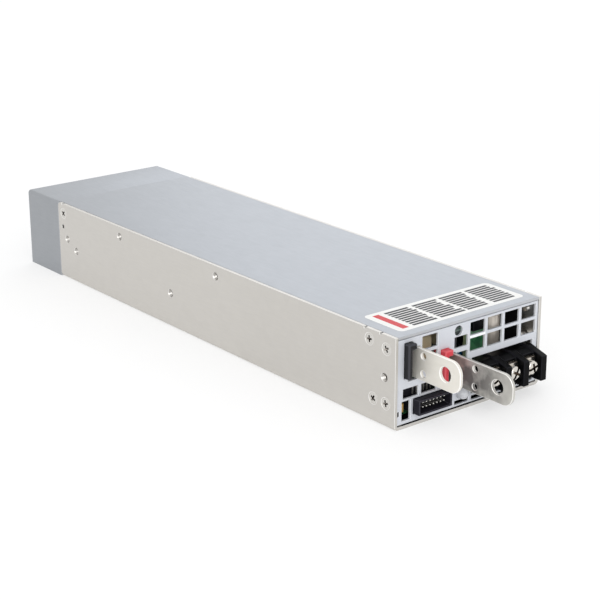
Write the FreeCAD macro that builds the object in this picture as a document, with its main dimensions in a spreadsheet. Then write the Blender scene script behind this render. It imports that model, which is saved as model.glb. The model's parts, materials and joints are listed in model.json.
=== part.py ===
import FreeCAD, Part
import collections
import math
import os
import re

import Sketcher

# Slim enclosed switching power supply, about 300 x 85 x 41 mm, in millimetres.
# Frame: origin at the centre of the case's underside, +Z up, +X to the right seen from the
# terminal end, and the terminal end facing -Y. The fans are at the +Y end.

SIZES = {
    # Folded case
    "case_length": 300.0,
    "case_width": 85.0,
    "case_height": 41.0,
    "chassis_sheet": 1.5,
    "cover_sheet": 1.2,
    "panel_sheet": 1.2,
    "bend_radius": 0.5,
    "sheet_gap": 0.15,
    "cover_wrap": 31.5,
    "wrap_gap": 0.2,
    "wall_corner_radius": 2.0,
    "edge_notch_width": 1.2,
    "edge_notch_depth": 0.9,
    "edge_notch_first": 9.4,
    "edge_notch_second": 19.2,
    "edge_notch_rear": 36.2,
    "panel_setback": 0.4,
    "panel_top_gap": 0.4,
    "panel_bottom_gap": 0.55,
    "lug_front": 2.0,
    "lug_length": 19.0,
    "lug_drop": 10.0,
    "panel_relief_width": 1.2,
    "panel_relief_height": 2.2,
    "panel_relief_z": 7.0,
    "panel_flange_low": 8.4,
    "panel_flange_height": 7.6,
    "panel_flange_length": 18.0,
    "tongue_length": 14.0,
    "tongue_gap": 0.4,
    "tongue_drop": 2.5,
    # Countersunk case screws, M3
    "screw_head_radius": 2.65,
    "screw_head_depth": 1.2,
    "screw_shank_radius": 1.45,
    "screw_length": 4.5,
    "screw_clearance": 0.05,
    "upper_screw_front": 5.7,
    "upper_screw_front_drop": 6.1,
    "upper_screw_next": 16.4,
    "upper_screw_next_drop": 4.6,
    "lower_screw_front": 5.8,
    "lower_screw_next": 13.7,
    "lower_screw_height": 10.8,
    "rear_screw_inset": 36.8,
    "rear_screw_drop": 5.3,
    "dimple_inset": 35.8,
    "dimple_drop": 12.6,
    "dimple_radius": 1.1,
    # Tapped M4 mounting holes in the side walls, with clinch nuts inside
    "mount_hole_radius": 2.0,
    "mount_nut_radius": 3.9,
    "mount_nut_length": 1.8,
    "end_hole_front": 6.7,
    "end_hole_rear": 39.7,
    "end_hole_height": 22.2,
    "low_hole_rear": 48.3,
    "low_hole_spacing": 88.2,
    "low_hole_height": 17.5,
    "high_hole_rear": 91.7,
    "high_hole_spacing": 82.8,
    "high_hole_drop": 5.3,
    # Front panel openings
    "window_width": 8.85,
    "window_height": 5.95,
    "window_pitch": 10.23,
    "window_row_pitch": 7.25,
    "window_row_drop": 5.67,
    "grid_shift": -0.675,
    "tab_window_shift": -2.575,
    "middle_window_width": 7.9,
    "middle_window_height": 5.1,
    "middle_window_x": -5.18,
    "middle_window_drop": 9.95,
    "middle_window_pitch": 7.1,
    "slit_window_width": 8.8,
    "slit_window_height": 4.5,
    "slit_window_pitch": 10.2,
    "slit_window_z": 15.25,
    "slit_window_shift": -12.9,
    "upright_window_width": 4.75,
    "upright_window_height": 8.75,
    "upright_window_z": 7.75,
    "upright_window_shift": -15.475,
    "foot_slot_width": 8.3,
    "foot_slot_height": 1.9,
    "foot_slot_pitch": 9.8,
    "foot_slot_z": 3.75,
    "foot_slot_first": -4.1,
    "opening_gap": 0.3,
    # Output tabs and their insulators
    "tab_thickness": 1.5,
    "tab_height": 13.9,
    "tab_top_drop": 6.5,
    "tab_corner_radius": 5.5,
    "tab_shift": -9.9,
    "tab_pitch": 20.5,
    "positive_tab_gap": 1.1,
    "negative_tab_reach": 25.3,
    "positive_tab_reach": 34.8,
    "tab_inner_length": 24.0,
    "tab_leg_width": 8.0,
    "tab_hole_radius": 3.25,
    "tab_hole_inset": 8.8,
    "tab_small_hole_radius": 1.5,
    "tab_small_hole_inset": 21.8,
    "tab_small_hole_spacing": 7.9,
    "insulator_offset": 6.9,
    "insulator_bar_width": 2.3,
    "insulator_hook_width": 4.6,
    "insulator_hook_height": 2.8,
    "insulator_height": 15.6,
    "insulator_top_gap": 3.1,
    "insulator_proud": 2.5,
    "insulator_depth": 5.0,
    # Input terminal block
    "block_width": 35.6,
    "block_side_gap": 0.4,
    "barrier_width": 3.3,
    "barrier_reach": 9.3,
    "barrier_front_height": 11.4,
    "barrier_back_height": 14.1,
    "block_face_reach": 4.0,
    "block_roof_drop": 0.7,
    "block_depth": 6.8,
    "block_opening_height": 15.4,
    "block_opening_low": 5.8,
    "terminal_screw_height": 6.9,
    "terminal_head_radius": 3.1,
    "terminal_head_length": 2.6,
    "terminal_shank_radius": 2.0,
    "terminal_shank_length": 8.0,
    "terminal_clamp_side_gap": 0.33,
    "terminal_clamp_height": 8.4,
    "terminal_clamp_thickness": 1.2,
    "terminal_contact_thickness": 0.8,
    "terminal_contact_side_gap": 0.18,
    "terminal_clearance": 0.1,
    # Signal header on the control card
    "header_width": 18.8,
    "header_height": 6.6,
    "header_wall": 0.8,
    "header_shift": -1.9,
    "header_low": 5.2,
    "header_proud": 3.2,
    "header_cavity_depth": 6.6,
    "header_pin_side": 0.5,
    "header_pin_length": 5.2,
    "header_pin_rise": 0.6,
    "header_pin_pitch": 2.0,
    # Trimmer and indicator lamp
    "trimmer_x": -6.8,
    "trimmer_drop": 4.8,
    "trimmer_hole_radius": 2.3,
    "trimmer_rotor_radius": 2.7,
    "trimmer_rotor_thickness": 1.4,
    "trimmer_slot_width": 0.8,
    "trimmer_slot_depth": 0.7,
    "trimmer_stem_radius": 1.0,
    "trimmer_stem_length": 2.2,
    "trimmer_running_gap": 0.05,
    "trimmer_face_gap": 0.2,
    "trimmer_body_side": 6.6,
    "lamp_shift": 0.9,
    "lamp_height": 7.8,
    "lamp_radius": 2.5,
    "lamp_proud": 1.0,
    # Boards
    "standoff_height": 3.0,
    "standoff_radius": 2.6,
    "board_thickness": 1.6,
    "board_side_gap": 2.2,
    "board_fan_gap": 3.0,
    "board_panel_gap": 1.0,
    "board_step_x": 1.6,
    "board_screw_inset": 4.5,
    "board_screw_radius": 1.4,
    "board_screw_head_radius": 2.6,
    "board_screw_head_length": 1.8,
    "board_screw_shank_length": 4.0,
    "board_screw_gap": 0.1,
    "insulation_thickness": 0.4,
    "insulation_margin": 1.0,
    "card_setback": 5.8,
    "card_thickness": 1.6,
    "card_low_gap": 1.1,
    "card_side_gap": 2.5,
    "card_step_x": -13.5,
    "card_tab_gap": 1.5,
    "card_top_gap": 0.5,
    "card_tower_left": 4.2,
    "card_tower_right": 14.5,
    "card_bridge_left": -10.8,
    "card_bridge_height": 8.3,
    "card_seat_gap": 0.3,
    "connector_width": 8.3,
    "connector_depth": 3.4,
    "connector_height": 4.6,
    "connector_drop": 5.1,
    # Fans
    "fan_gap": 0.15,
    "fan_spacing": 2.0,
    "fan_depth": 28.0,
    "fan_wall": 1.1,
    "fan_corner_radius": 2.5,
    "fan_strut_width": 2.0,
    "fan_strut_depth": 3.0,
    "fan_boss_radius": 9.0,
    "fan_tube_radius": 3.2,
    "fan_tube_length": 13.0,
    "fan_bore_depth": 14.8,
    "fan_shaft_radius": 1.5,
    "fan_shaft_gap": 0.05,
    "fan_tip_gap": 0.7,
    "fan_hub_radius": 10.2,
    "fan_hub_wall": 1.4,
    "fan_hub_length": 20.0,
    "fan_hub_gap": 2.0,
    "blade_length": 15.0,
    "blade_thickness": 1.1,
    "blade_root_sweep": 8.0,
    "blade_tip_sweep": 13.0,
    "fan_stator_radius": 7.8,
    "fan_stator_length": 9.0,
    "fan_screw_inset": 3.0,
    "fan_window_height": 4.6,
    "fan_window_pitch": 6.8,
    "fan_window_column": 10.4,
    "fan_window_width": 8.6,
    # Parts on the main board
    "front_zone": 41.0,
    "fuse_radius": 3.2,
    "fuse_cap_radius": 3.5,
    "fuse_length": 28.0,
    "fuse_cap_length": 6.0,
    "fuse_y": 28.0,
    "input_capacitor_radius": 5.0,
    "input_capacitor_height": 27.0,
    "input_capacitor_shift": 5.8,
    "input_capacitor_y": 15.8,
    "line_capacitor_length": 26.0,
    "line_capacitor_width": 8.5,
    "line_capacitor_height": 17.5,
    "line_capacitor_y": 36.5,
    "choke_radius": 13.5,
    "choke_hole_radius": 5.5,
    "choke_thickness": 17.0,
    "choke_base": 1.6,
    "disc_radius": 4.5,
    "disc_thickness": 3.6,
    "disc_pitch": 8.5,
    "relay_length": 20.0,
    "relay_width": 10.0,
    "relay_height": 15.5,
    "thermistor_radius": 7.5,
    "thermistor_thickness": 5.0,
    "bridge_length": 30.0,
    "bridge_thickness": 4.6,
    "bridge_height": 20.0,
    "row_gap": 4.0,
    "bulk_radius": 14.5,
    "bulk_length": 31.0,
    "core_width": 32.0,
    "core_depth": 19.0,
    "core_height": 27.0,
    "core_yoke": 5.0,
    "core_leg": 10.0,
    "winding_bulge": 5.0,
    "winding_gap": 0.2,
    "small_core_width": 22.0,
    "small_core_depth": 13.0,
    "small_core_height": 19.0,
    "small_core_yoke": 3.6,
    "small_core_leg": 6.5,
    "film_width": 8.5,
    "film_depth": 10.0,
    "film_height": 27.0,
    "film_shift": 3.6,
    "film_y": 15.5,
    "output_capacitor_radius": 6.0,
    "output_capacitor_height": 24.0,
    "output_capacitor_pitch": 12.8,
    "output_capacitor_y": 33.5,
    "sink_spine": 3.0,
    "sink_fin": 1.4,
    "sink_fin_length": 9.0,
    "sink_fin_pitch": 6.0,
    "sink_height": 26.0,
    "sink_length": 33.0,
    "transistor_width": 9.0,
    "transistor_height": 14.0,
    "transistor_thickness": 4.6,
    "transistor_pitch": 10.6,
    "driver_length": 62.0,
    "driver_height": 25.0,
}

FAN_BLADES = 7
BOARD_BAYS = 6
BLOCK_POLES = 3
HEADER_COLUMNS = 7
HEADER_ROWS = 2
SINK_FINS = 4
NUT_SIDES = 6
SIDES = {"left": -1, "right": 1}
RUN_OUT = "1"

# Planes and levels that several pieces share, as expressions of the sheet's cells
FRONT = "(-case_length / 2)"
REAR = "(case_length / 2)"
HALF_WIDTH = "(case_width / 2)"
INNER_SIDE = "(case_width / 2 - chassis_sheet)"
LINER = "(case_width / 2 - chassis_sheet - sheet_gap)"
CEILING = "(case_height - cover_sheet)"
CAP_INNER = "(case_width / 2 - cover_sheet)"
WALL_END = "(case_length / 2 - cover_wrap - wrap_gap)"
CAP_START = "(case_length / 2 - cover_wrap)"
REAR_INNER = "(case_length / 2 - cover_sheet)"
PANEL_FACE = "(-case_length / 2 + panel_setback)"
PANEL_BACK = "(-case_length / 2 + panel_setback + panel_sheet)"
AC_CENTRE = "((case_width / 2 - chassis_sheet - sheet_gap) / 2)"
DC_CENTRE = "(-(case_width / 2 - chassis_sheet - sheet_gap) / 2)"
BOARD_LOW = "(chassis_sheet + standoff_height)"
BOARD_TOP = "(chassis_sheet + standoff_height + board_thickness)"
BOARD_SIDE = "(case_width / 2 - chassis_sheet - board_side_gap)"
CARD_FACE = "(-case_length / 2 + panel_setback + panel_sheet + card_setback)"
CARD_BACK = "(-case_length / 2 + panel_setback + panel_sheet + card_setback + card_thickness)"
FAN_BACK = "(case_length / 2 - cover_sheet - fan_gap)"
FAN_FRONT = "(case_length / 2 - cover_sheet - fan_gap - fan_depth)"
FAN_SIZE = (
    "min(case_height - cover_sheet - chassis_sheet - 2 * fan_gap;"
    " case_width / 2 - cover_sheet - fan_gap - fan_spacing / 2)"
)
FAN_X = f"({FAN_SIZE} / 2 + fan_spacing / 2)"
FAN_Z = f"(chassis_sheet + fan_gap + {FAN_SIZE} / 2)"
FAN_BORE = f"({FAN_SIZE} / 2 - fan_wall)"
BOARD_REAR = "(case_length / 2 - cover_sheet - fan_gap - fan_depth - board_fan_gap)"
BAYS_FRONT = "(-case_length / 2 + front_zone)"
BAY_PITCH = f"(({BOARD_REAR} - {BAYS_FRONT}) / {BOARD_BAYS})"

Disc = collections.namedtuple("Disc", "x y radius")

doc = FreeCAD.newDocument("power_supply")
sheet = doc.addObject("Spreadsheet::Sheet", "Sizes")
for row, (alias, number) in enumerate(SIZES.items(), start=1):
    sheet.set(f"A{row}", alias)
    sheet.set(f"B{row}", str(number))
    sheet.setAlias(f"B{row}", alias)
doc.recompute()

nodes = []


# Binding and measuring


def cells(text):
    """Return an expression in which each size is written as its cell of the sheet."""
    return re.sub(r"[a-z][a-z_]+", lambda word: refer(word.group()), str(text))


def refer(word):
    """Return the sheet's name for a size, or the word itself where it is a function."""
    return f"Sizes.{word}" if word in SIZES else word


def measure(text):
    """Return the present value of an expression."""
    return float(sheet.evalExpression(cells(text)))


def bind(thing, name, text):
    """Bind one property of an object to an expression of the sheet."""
    thing.setExpression(name, cells(text))


def length(span):
    """Return the expression of a span's length."""
    return f"({span[1]}) - ({span[0]})"


def about(centre, size):
    """Return the span of a size that lies evenly about a centre."""
    return (f"({centre}) - ({size}) / 2", f"({centre}) + ({size}) / 2")


def onward(start, size):
    """Return the span that starts at one place and has a given size."""
    return (start, f"({start}) + ({size})")


def bay(index):
    """Return the Y place of the middle of one bay of the main board, counted from the front."""
    return f"({BAYS_FRONT} + {BAY_PITCH} * {index - 0.5})"


def node(thing, label):
    """Keep an object as a finished piece under its own label."""
    thing.Label = label
    nodes.append(thing)
    return thing


# Primitives and booleans

TURNS = {
    "x": FreeCAD.Rotation(FreeCAD.Vector(0, 1, 0), 90),
    "y": FreeCAD.Rotation(FreeCAD.Vector(1, 0, 0), -90),
    "z": FreeCAD.Rotation(),
}


def stand(solid, axis, centre, start):
    """Turn a solid made along Z to an axis, and bind its base there."""
    solid.Placement = FreeCAD.Placement(FreeCAD.Vector(), TURNS[axis])
    base = list(centre)
    base.insert("xyz".index(axis), start)
    for name, text in zip("xyz", base):
        bind(solid, f"Placement.Base.{name}", text)
    return solid


def block(name, x, y, z):
    """Make a box from its three spans."""
    solid = doc.addObject("Part::Box", name)
    for prop, span in zip(("Length", "Width", "Height"), (x, y, z)):
        bind(solid, prop, length(span))
    for axis, span in zip("xyz", (x, y, z)):
        bind(solid, f"Placement.Base.{axis}", span[0])
    return solid


def rod(name, axis, centre, span, radius):
    """Make a cylinder along an axis, with its centre given by the other two coordinates."""
    solid = doc.addObject("Part::Cylinder", name)
    bind(solid, "Radius", radius)
    bind(solid, "Height", length(span))
    return stand(solid, axis, centre, span[0])


def cone(name, axis, centre, span, start_radius, end_radius):
    """Make a cone along an axis from one radius to another."""
    solid = doc.addObject("Part::Cone", name)
    bind(solid, "Radius1", start_radius)
    bind(solid, "Radius2", end_radius)
    bind(solid, "Height", length(span))
    return stand(solid, axis, centre, span[0])


def nut(name, axis, centre, span, radius):
    """Make a six-sided prism along an axis."""
    solid = doc.addObject("Part::Prism", name)
    solid.Polygon = NUT_SIDES
    bind(solid, "Circumradius", radius)
    bind(solid, "Height", length(span))
    return stand(solid, axis, centre, span[0])


def join(name, solids):
    """Fuse solids that touch into one."""
    fused = doc.addObject("Part::MultiFuse", name)
    fused.Shapes = solids
    return fused


def cut(name, base, tools):
    """Cut one or more tools out of a solid."""
    tool = tools[0] if len(tools) == 1 else join(f"{name}_tools", tools)
    result = doc.addObject("Part::Cut", name)
    result.Base = base
    result.Tool = tool
    return result


def group(name, solids):
    """Keep separate solids together as one object."""
    compound = doc.addObject("Part::Compound", name)
    compound.Links = solids
    return compound


# Bodies made from sketches


def body(name):
    """Start a body."""
    return doc.addObject("PartDesign::Body", name)


def origin_plane(piece, role):
    """Return one of a body's origin planes or axes by its role."""
    return next(f for f in piece.Origin.OriginFeatures if f.Role == role)


def sketch(piece, role, offset, shapes):
    """Draw outlines and discs on an origin plane, moved along its axis to an offset."""
    drawing = piece.newObject("Sketcher::SketchObject", f"{piece.Name}_sketch")
    drawing.AttachmentSupport = [(origin_plane(piece, role), "")]
    drawing.MapMode = "FlatFace"
    facing = "-" if role == "XZ_Plane" else ""
    bind(drawing, "AttachmentOffset.Base.z", f"{facing}({offset})")
    for shape in shapes:
        if isinstance(shape, Disc):
            draw_disc(drawing, shape)
        else:
            draw_outline(drawing, shape)
    return drawing


def hold(drawing, kind, places, text):
    """Add a dimension to a sketch and bind it to an expression."""
    index = drawing.addConstraint(Sketcher.Constraint(kind, *places, measure(text)))
    bind(drawing, f"Constraints[{index}]", text)


def draw_disc(drawing, disc):
    """Draw a circle whose centre and radius are bound."""
    centre = FreeCAD.Vector(measure(disc.x), measure(disc.y), 0)
    upward = FreeCAD.Vector(0, 0, 1)
    circle = drawing.addGeometry(Part.Circle(centre, upward, measure(disc.radius)), False)
    hold(drawing, "DistanceX", (-1, 1, circle, 3), disc.x)
    hold(drawing, "DistanceY", (-1, 1, circle, 3), disc.y)
    hold(drawing, "Radius", (circle,), disc.radius)


def rounding(corner, before, after, radius):
    """Return the centre, tangent points and turn of a rounded corner."""
    back = (before - corner).normalize()
    ahead = (after - corner).normalize()
    half_angle = back.getAngle(ahead) / 2
    reach = radius / math.tan(half_angle)
    centre = corner + (back + ahead).normalize() * (radius / math.sin(half_angle))
    left_turn = (corner - before).cross(after - corner).z > 0
    return centre, corner + back * reach, corner + ahead * reach, left_turn


def draw_outline(drawing, corners):
    """Draw a closed outline. A corner is (x, y), or (x, y, radius) where it is rounded."""
    points = [FreeCAD.Vector(measure(c[0]), measure(c[1]), 0) for c in corners]
    count = len(corners)
    starts = list(points)
    ends = list(points)
    arcs = {}
    for i, corner in enumerate(corners):
        if len(corner) == 3:
            near = (points[i - 1], points[(i + 1) % count])
            centre, starts[i], ends[i], left_turn = rounding(points[i], *near, measure(corner[2]))
            arcs[i] = (centre, left_turn)
    lines = [
        drawing.addGeometry(Part.LineSegment(ends[i], starts[(i + 1) % count]), False)
        for i in range(count)
    ]
    for i, corner in enumerate(corners):
        if i in arcs:
            draw_rounding(drawing, corner, arcs[i], (starts[i], ends[i]), (lines[i - 1], lines[i]))
        else:
            drawing.addConstraint(Sketcher.Constraint("Coincident", lines[i - 1], 2, lines[i], 1))
            hold(drawing, "DistanceX", (-1, 1, lines[i], 1), corner[0])
            hold(drawing, "DistanceY", (-1, 1, lines[i], 1), corner[1])


def draw_rounding(drawing, corner, arc, tangents, lines):
    """Draw the arc of a rounded corner, tangent to both its lines, about a bound corner point."""
    centre, left_turn = arc
    first, last = tangents if left_turn else reversed(tangents)
    upward = FreeCAD.Vector(0, 0, 1)
    circle = Part.Circle(centre, upward, (first - centre).Length)
    curve = drawing.addGeometry(
        Part.ArcOfCircle(circle, circle.parameter(first), circle.parameter(last)), False
    )
    begin, finish = (1, 2) if left_turn else (2, 1)
    drawing.addConstraint(Sketcher.Constraint("Tangent", lines[0], 2, curve, begin))
    drawing.addConstraint(Sketcher.Constraint("Tangent", curve, finish, lines[1], 1))
    mark = FreeCAD.Vector(measure(corner[0]), measure(corner[1]), 0)
    point = drawing.addGeometry(Part.Point(mark), True)
    for line in lines:
        drawing.addConstraint(Sketcher.Constraint("PointOnObject", point, 1, line))
    hold(drawing, "DistanceX", (-1, 1, point, 1), corner[0])
    hold(drawing, "DistanceY", (-1, 1, point, 1), corner[1])
    hold(drawing, "Radius", (curve,), corner[2])


def oblong(x, y, radius=None):
    """Return the corners of a rectangle from its two spans, rounded where a radius is given."""
    places = [(x[0], y[0]), (x[1], y[0]), (x[1], y[1]), (x[0], y[1])]
    return [place + (radius,) for place in places] if radius else places


def pad(piece, role, span, shapes):
    """Add material between two planes, and return the feature."""
    feature = piece.newObject("PartDesign::Pad", f"{piece.Name}_pad")
    feature.Profile = sketch(piece, role, span[0], shapes)
    bind(feature, "Length", length(span))
    feature.Reversed = role == "XZ_Plane"
    return settle(piece, feature)


def pocket(piece, role, span, shapes):
    """Remove material between two planes, and return the feature."""
    feature = piece.newObject("PartDesign::Pocket", f"{piece.Name}_pocket")
    feature.Profile = sketch(piece, role, span[0], shapes)
    bind(feature, "Length", length(span))
    feature.Reversed = role != "XZ_Plane"
    return settle(piece, feature)


def settle(piece, feature):
    """Make a feature the tip of its body."""
    piece.Tip = feature
    return feature


def fillet(piece, edges, radius):
    """Round the edges of a body that a test picks out."""
    base = piece.Tip
    doc.recompute()
    names = [f"Edge{i}" for i, edge in enumerate(base.Shape.Edges, start=1) if edges(edge)]
    feature = piece.newObject("PartDesign::Fillet", f"{piece.Name}_fillet")
    feature.Base = (base, names)
    bind(feature, "Radius", radius)
    return settle(piece, feature)


# Case screws and mounting holes, in Y and Z on the side walls

UPPER_SCREWS = [
    (f"{FRONT} + upper_screw_front", "case_height - upper_screw_front_drop"),
    (f"{FRONT} + upper_screw_next", "case_height - upper_screw_next_drop"),
    (f"{REAR} - rear_screw_inset", "case_height - rear_screw_drop"),
]
LOWER_SCREWS = [
    (f"{FRONT} + lower_screw_front", "lower_screw_height"),
    (f"{FRONT} + lower_screw_next", "lower_screw_height"),
]
MOUNT_HOLES = [
    (f"{FRONT} + end_hole_front", "end_hole_height"),
    (f"{REAR} - end_hole_rear", "end_hole_height"),
    (f"{REAR} - low_hole_rear", "low_hole_height"),
    (f"{REAR} - low_hole_rear - low_hole_spacing", "low_hole_height"),
    (f"{REAR} - high_hole_rear", "case_height - high_hole_drop"),
    (f"{REAR} - high_hole_rear - high_hole_spacing", "case_height - high_hole_drop"),
]
ACROSS = (f"-{HALF_WIDTH} - {RUN_OUT}", f"{HALF_WIDTH} + {RUN_OUT}")


def outward(sign, face, depth):
    """Return the span from a depth below a face out to the face, for a side or an end."""
    return (f"({sign}) * ({face})", f"({sign}) * (({face}) - ({depth}))")


def rising(span):
    """Return a span with its lower end first."""
    return span if measure(span[0]) < measure(span[1]) else (span[1], span[0])


def countersink(name, axis, sign, centre, face, spare):
    """Make a countersunk head's cone, widened by a spare clearance, with its rim on a face."""
    span = rising(outward(sign, face, "screw_head_depth"))
    rim = f"screw_head_radius + {spare}"
    neck = f"screw_shank_radius + {spare}"
    radii = (rim, neck) if sign < 0 else (neck, rim)
    return cone(name, axis, centre, span, *radii)


def flat_screw(name, axis, sign, centre, face):
    """Make a countersunk screw whose head is flush with a face."""
    head = countersink(f"{name}_head", axis, sign, centre, face, "0")
    inner = f"({sign}) * (({face}) - screw_length)"
    neck = f"({sign}) * (({face}) - screw_head_depth)"
    shank = rod(f"{name}_shank", axis, centre, rising((inner, neck)), "screw_shank_radius")
    return join(name, [head, shank])


# The folded case


def make_chassis():
    """Make the folded tray: the base and both long side walls, with every hole."""
    tray = body("chassis_tray")
    outer = "bend_radius + chassis_sheet"
    back = f"{REAR_INNER} - sheet_gap"
    section = [
        (f"-{HALF_WIDTH}", "case_height"),
        (f"-{HALF_WIDTH}", "0", outer),
        (HALF_WIDTH, "0", outer),
        (HALF_WIDTH, "case_height"),
        (INNER_SIDE, "case_height"),
        (INNER_SIDE, "chassis_sheet", "bend_radius"),
        (f"-{INNER_SIDE}", "chassis_sheet", "bend_radius"),
        (f"-{INNER_SIDE}", "case_height"),
    ]
    pad(tray, "XZ_Plane", (FRONT, back), [section])
    rear = (WALL_END, f"{back} + {RUN_OUT}")
    base_side = f"{CAP_INNER} - sheet_gap"
    wall_side = f"{INNER_SIDE} - bend_radius"
    for low, inner in (("0", base_side), ("chassis_sheet", wall_side)):
        flanks = [
            oblong((f"{sign} * ({ACROSS[1]})", f"{sign} * ({inner})"), rear) for sign in SIDES.values()
        ]
        pocket(tray, "XY_Plane", (low, f"case_height + {RUN_OUT}"), flanks)
    fillet(tray, is_wall_corner, "wall_corner_radius")
    pocket(tray, "YZ_Plane", ACROSS, wall_notches())
    holes = [Disc(y, z, "mount_hole_radius") for y, z in MOUNT_HOLES]
    holes += [Disc(y, z, "screw_shank_radius + screw_clearance") for y, z in UPPER_SCREWS + LOWER_SCREWS]
    holes.append(Disc(f"{REAR} - dimple_inset", "case_height - dimple_drop", "dimple_radius"))
    pocket(tray, "YZ_Plane", ACROSS, holes)
    seats = [
        countersink(f"chassis_seat_{side}_{i}", "x", sign, place, HALF_WIDTH, "screw_clearance")
        for side, sign in SIDES.items()
        for i, place in enumerate(UPPER_SCREWS + LOWER_SCREWS)
    ]
    node(cut("chassis_piece", tray, seats), "chassis")


def is_wall_corner(edge):
    """Pick the upper rear corners of the two side walls."""
    box = edge.BoundBox
    at_end = abs(box.YMin - measure(WALL_END)) < 1e-4 and box.YLength < 1e-4
    return at_end and abs(box.ZMin - measure("case_height")) < 1e-4 and box.ZLength < 1e-4


def wall_notches():
    """Return the small notches in the upper edges of the side walls."""
    upper = ("case_height - edge_notch_depth", f"case_height + {RUN_OUT}")
    places = [f"{FRONT} + edge_notch_first", f"{FRONT} + edge_notch_second", f"{REAR} - edge_notch_rear"]
    return [oblong(about(place, "edge_notch_width"), upper) for place in places]


def make_top_cover():
    """Make the folded cover: the top sheet, the rear cap with its fan windows, lugs and tongues."""
    cover = body("cover_sheet_piece")
    outer = "bend_radius + cover_sheet"
    cap = [
        (f"-{HALF_WIDTH}", "0"),
        (f"-{CAP_INNER}", "0"),
        (f"-{CAP_INNER}", CEILING, "bend_radius"),
        (CAP_INNER, CEILING, "bend_radius"),
        (CAP_INNER, "0"),
        (HALF_WIDTH, "0"),
        (HALF_WIDTH, "case_height", outer),
        (f"-{HALF_WIDTH}", "case_height", outer),
    ]
    pad(cover, "XZ_Plane", (CAP_START, REAR), [cap])
    half_sheet = "cover_sheet / 2"
    wall = oblong(about("0", "case_width - cover_sheet"), ("0", f"case_height - {half_sheet}"))
    pad(cover, "XZ_Plane", (REAR_INNER, REAR), [wall])
    top = oblong(about("0", f"2 * {LINER}"), (CEILING, "case_height"))
    pad(cover, "XZ_Plane", (FRONT, f"{CAP_START} + {half_sheet}"), [top])
    lug = oblong(
        onward(f"{FRONT} + lug_front", "lug_length"),
        ("case_height - lug_drop", f"case_height - {half_sheet}"),
    )
    high = "case_height - tongue_drop"
    tongue_z = ("end_hole_height + mount_nut_radius + tongue_gap", high)
    tongue = oblong((f"{WALL_END} - tongue_length", f"{CAP_START} + cover_sheet"), tongue_z)
    joggle = oblong((CAP_START, f"{CAP_START} + cover_sheet"), tongue_z)
    for sign in SIDES.values():
        inner = rising((f"{sign} * {LINER}", f"{sign} * ({LINER} - cover_sheet)"))
        bridge = rising((f"{sign} * ({CAP_INNER} + {half_sheet})", f"{sign} * ({LINER} - {half_sheet})"))
        pad(cover, "YZ_Plane", inner, [lug])
        pad(cover, "YZ_Plane", inner, [tongue])
        pad(cover, "YZ_Plane", bridge, [joggle])
    threads = [Disc(y, z, "screw_shank_radius + screw_clearance") for y, z in UPPER_SCREWS]
    pocket(cover, "YZ_Plane", ACROSS, threads)
    through = (f"{REAR_INNER} - {RUN_OUT}", f"{REAR} + {RUN_OUT}")
    for row in fan_window_rows():
        pocket(cover, "XZ_Plane", through, row)
    bores = [Disc(x, z, "screw_shank_radius + screw_clearance") for x, z in FAN_SCREWS]
    pocket(cover, "XZ_Plane", through, bores)
    seats = [
        countersink(f"cover_seat_{i}", "y", 1, place, REAR, "screw_clearance")
        for i, place in enumerate(FAN_SCREWS)
    ]
    node(cut("cover_piece", cover, seats), "top_cover")


FAN_SCREWS = [
    (f"{side} * {FAN_X} + {x} * ({FAN_SIZE} / 2 - fan_screw_inset)",
     f"{FAN_Z} + {z} * ({FAN_SIZE} / 2 - fan_screw_inset)")
    for side in SIDES.values()
    for x in SIDES.values()
    for z in SIDES.values()
]


def fan_window_rows():
    """Return the rows of oblong windows behind each fan, shorter above and below its middle."""
    rows = []
    for side in SIDES.values():
        for row in range(-2, 3):
            height = about(f"{FAN_Z} + {row} * fan_window_pitch", "fan_window_height")
            columns = (-1, 0, 1) if abs(row) < 2 else (-0.5, 0.5)
            centres = [f"{side} * {FAN_X} + {column} * fan_window_column" for column in columns]
            rows.append([oblong(about(centre, "fan_window_width"), height) for centre in centres])
    return rows


def make_case_screws():
    """Make the countersunk screws that hold the cover and the front panel in the chassis."""
    screws = [
        flat_screw(f"case_screw_{side}_{i}", "x", sign, place, HALF_WIDTH)
        for side, sign in SIDES.items()
        for i, place in enumerate(UPPER_SCREWS + LOWER_SCREWS)
    ]
    node(group("case_screw_set", screws), "case_screws")


def make_mount_nuts():
    """Make the clinch nuts behind the mounting holes."""
    nuts = []
    for side, sign in SIDES.items():
        for i, place in enumerate(MOUNT_HOLES):
            name = f"mount_nut_{side}_{i}"
            span = rising((f"{sign} * {INNER_SIDE}", f"{sign} * ({INNER_SIDE} - mount_nut_length)"))
            hexagon = nut(f"{name}_hexagon", "x", place, span, "mount_nut_radius")
            bore = rod(f"{name}_bore", "x", place, span, "mount_hole_radius")
            nuts.append(cut(name, hexagon, [bore]))
    node(group("mount_nut_set", nuts), "mount_nuts")


# The front panel


def tab_left(index):
    """Return the X place of a tab's left face: 0 is the negative tab, 1 the positive."""
    return f"({DC_CENTRE} + tab_shift + {index} * tab_pitch)"


def tab_span(index):
    """Return the Z span of a tab: the negative hangs from the top, the positive clears the header."""
    low = ("case_height - tab_top_drop - tab_height", "header_low + header_height + positive_tab_gap")
    return onward(f"({low[index]})", "tab_height")


def insulator_corners(index):
    """Return the hooked outline of a tab's insulator, in X and Z."""
    left = f"({tab_left(index)} - insulator_offset)"
    high = f"({tab_span(index)[1]} + insulator_top_gap)"
    under = f"{high} - insulator_hook_height"
    bar = f"{left} + insulator_bar_width"
    hook = f"{left} + insulator_hook_width"
    low = f"{high} - insulator_height"
    return [(left, low), (bar, low), (bar, under), (hook, under), (hook, high), (left, high)]


def block_x(place):
    """Return an X place on the terminal block, measured from its left end."""
    return f"({HALF_WIDTH} - screw_length - block_side_gap - block_width + ({place}))"


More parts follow.
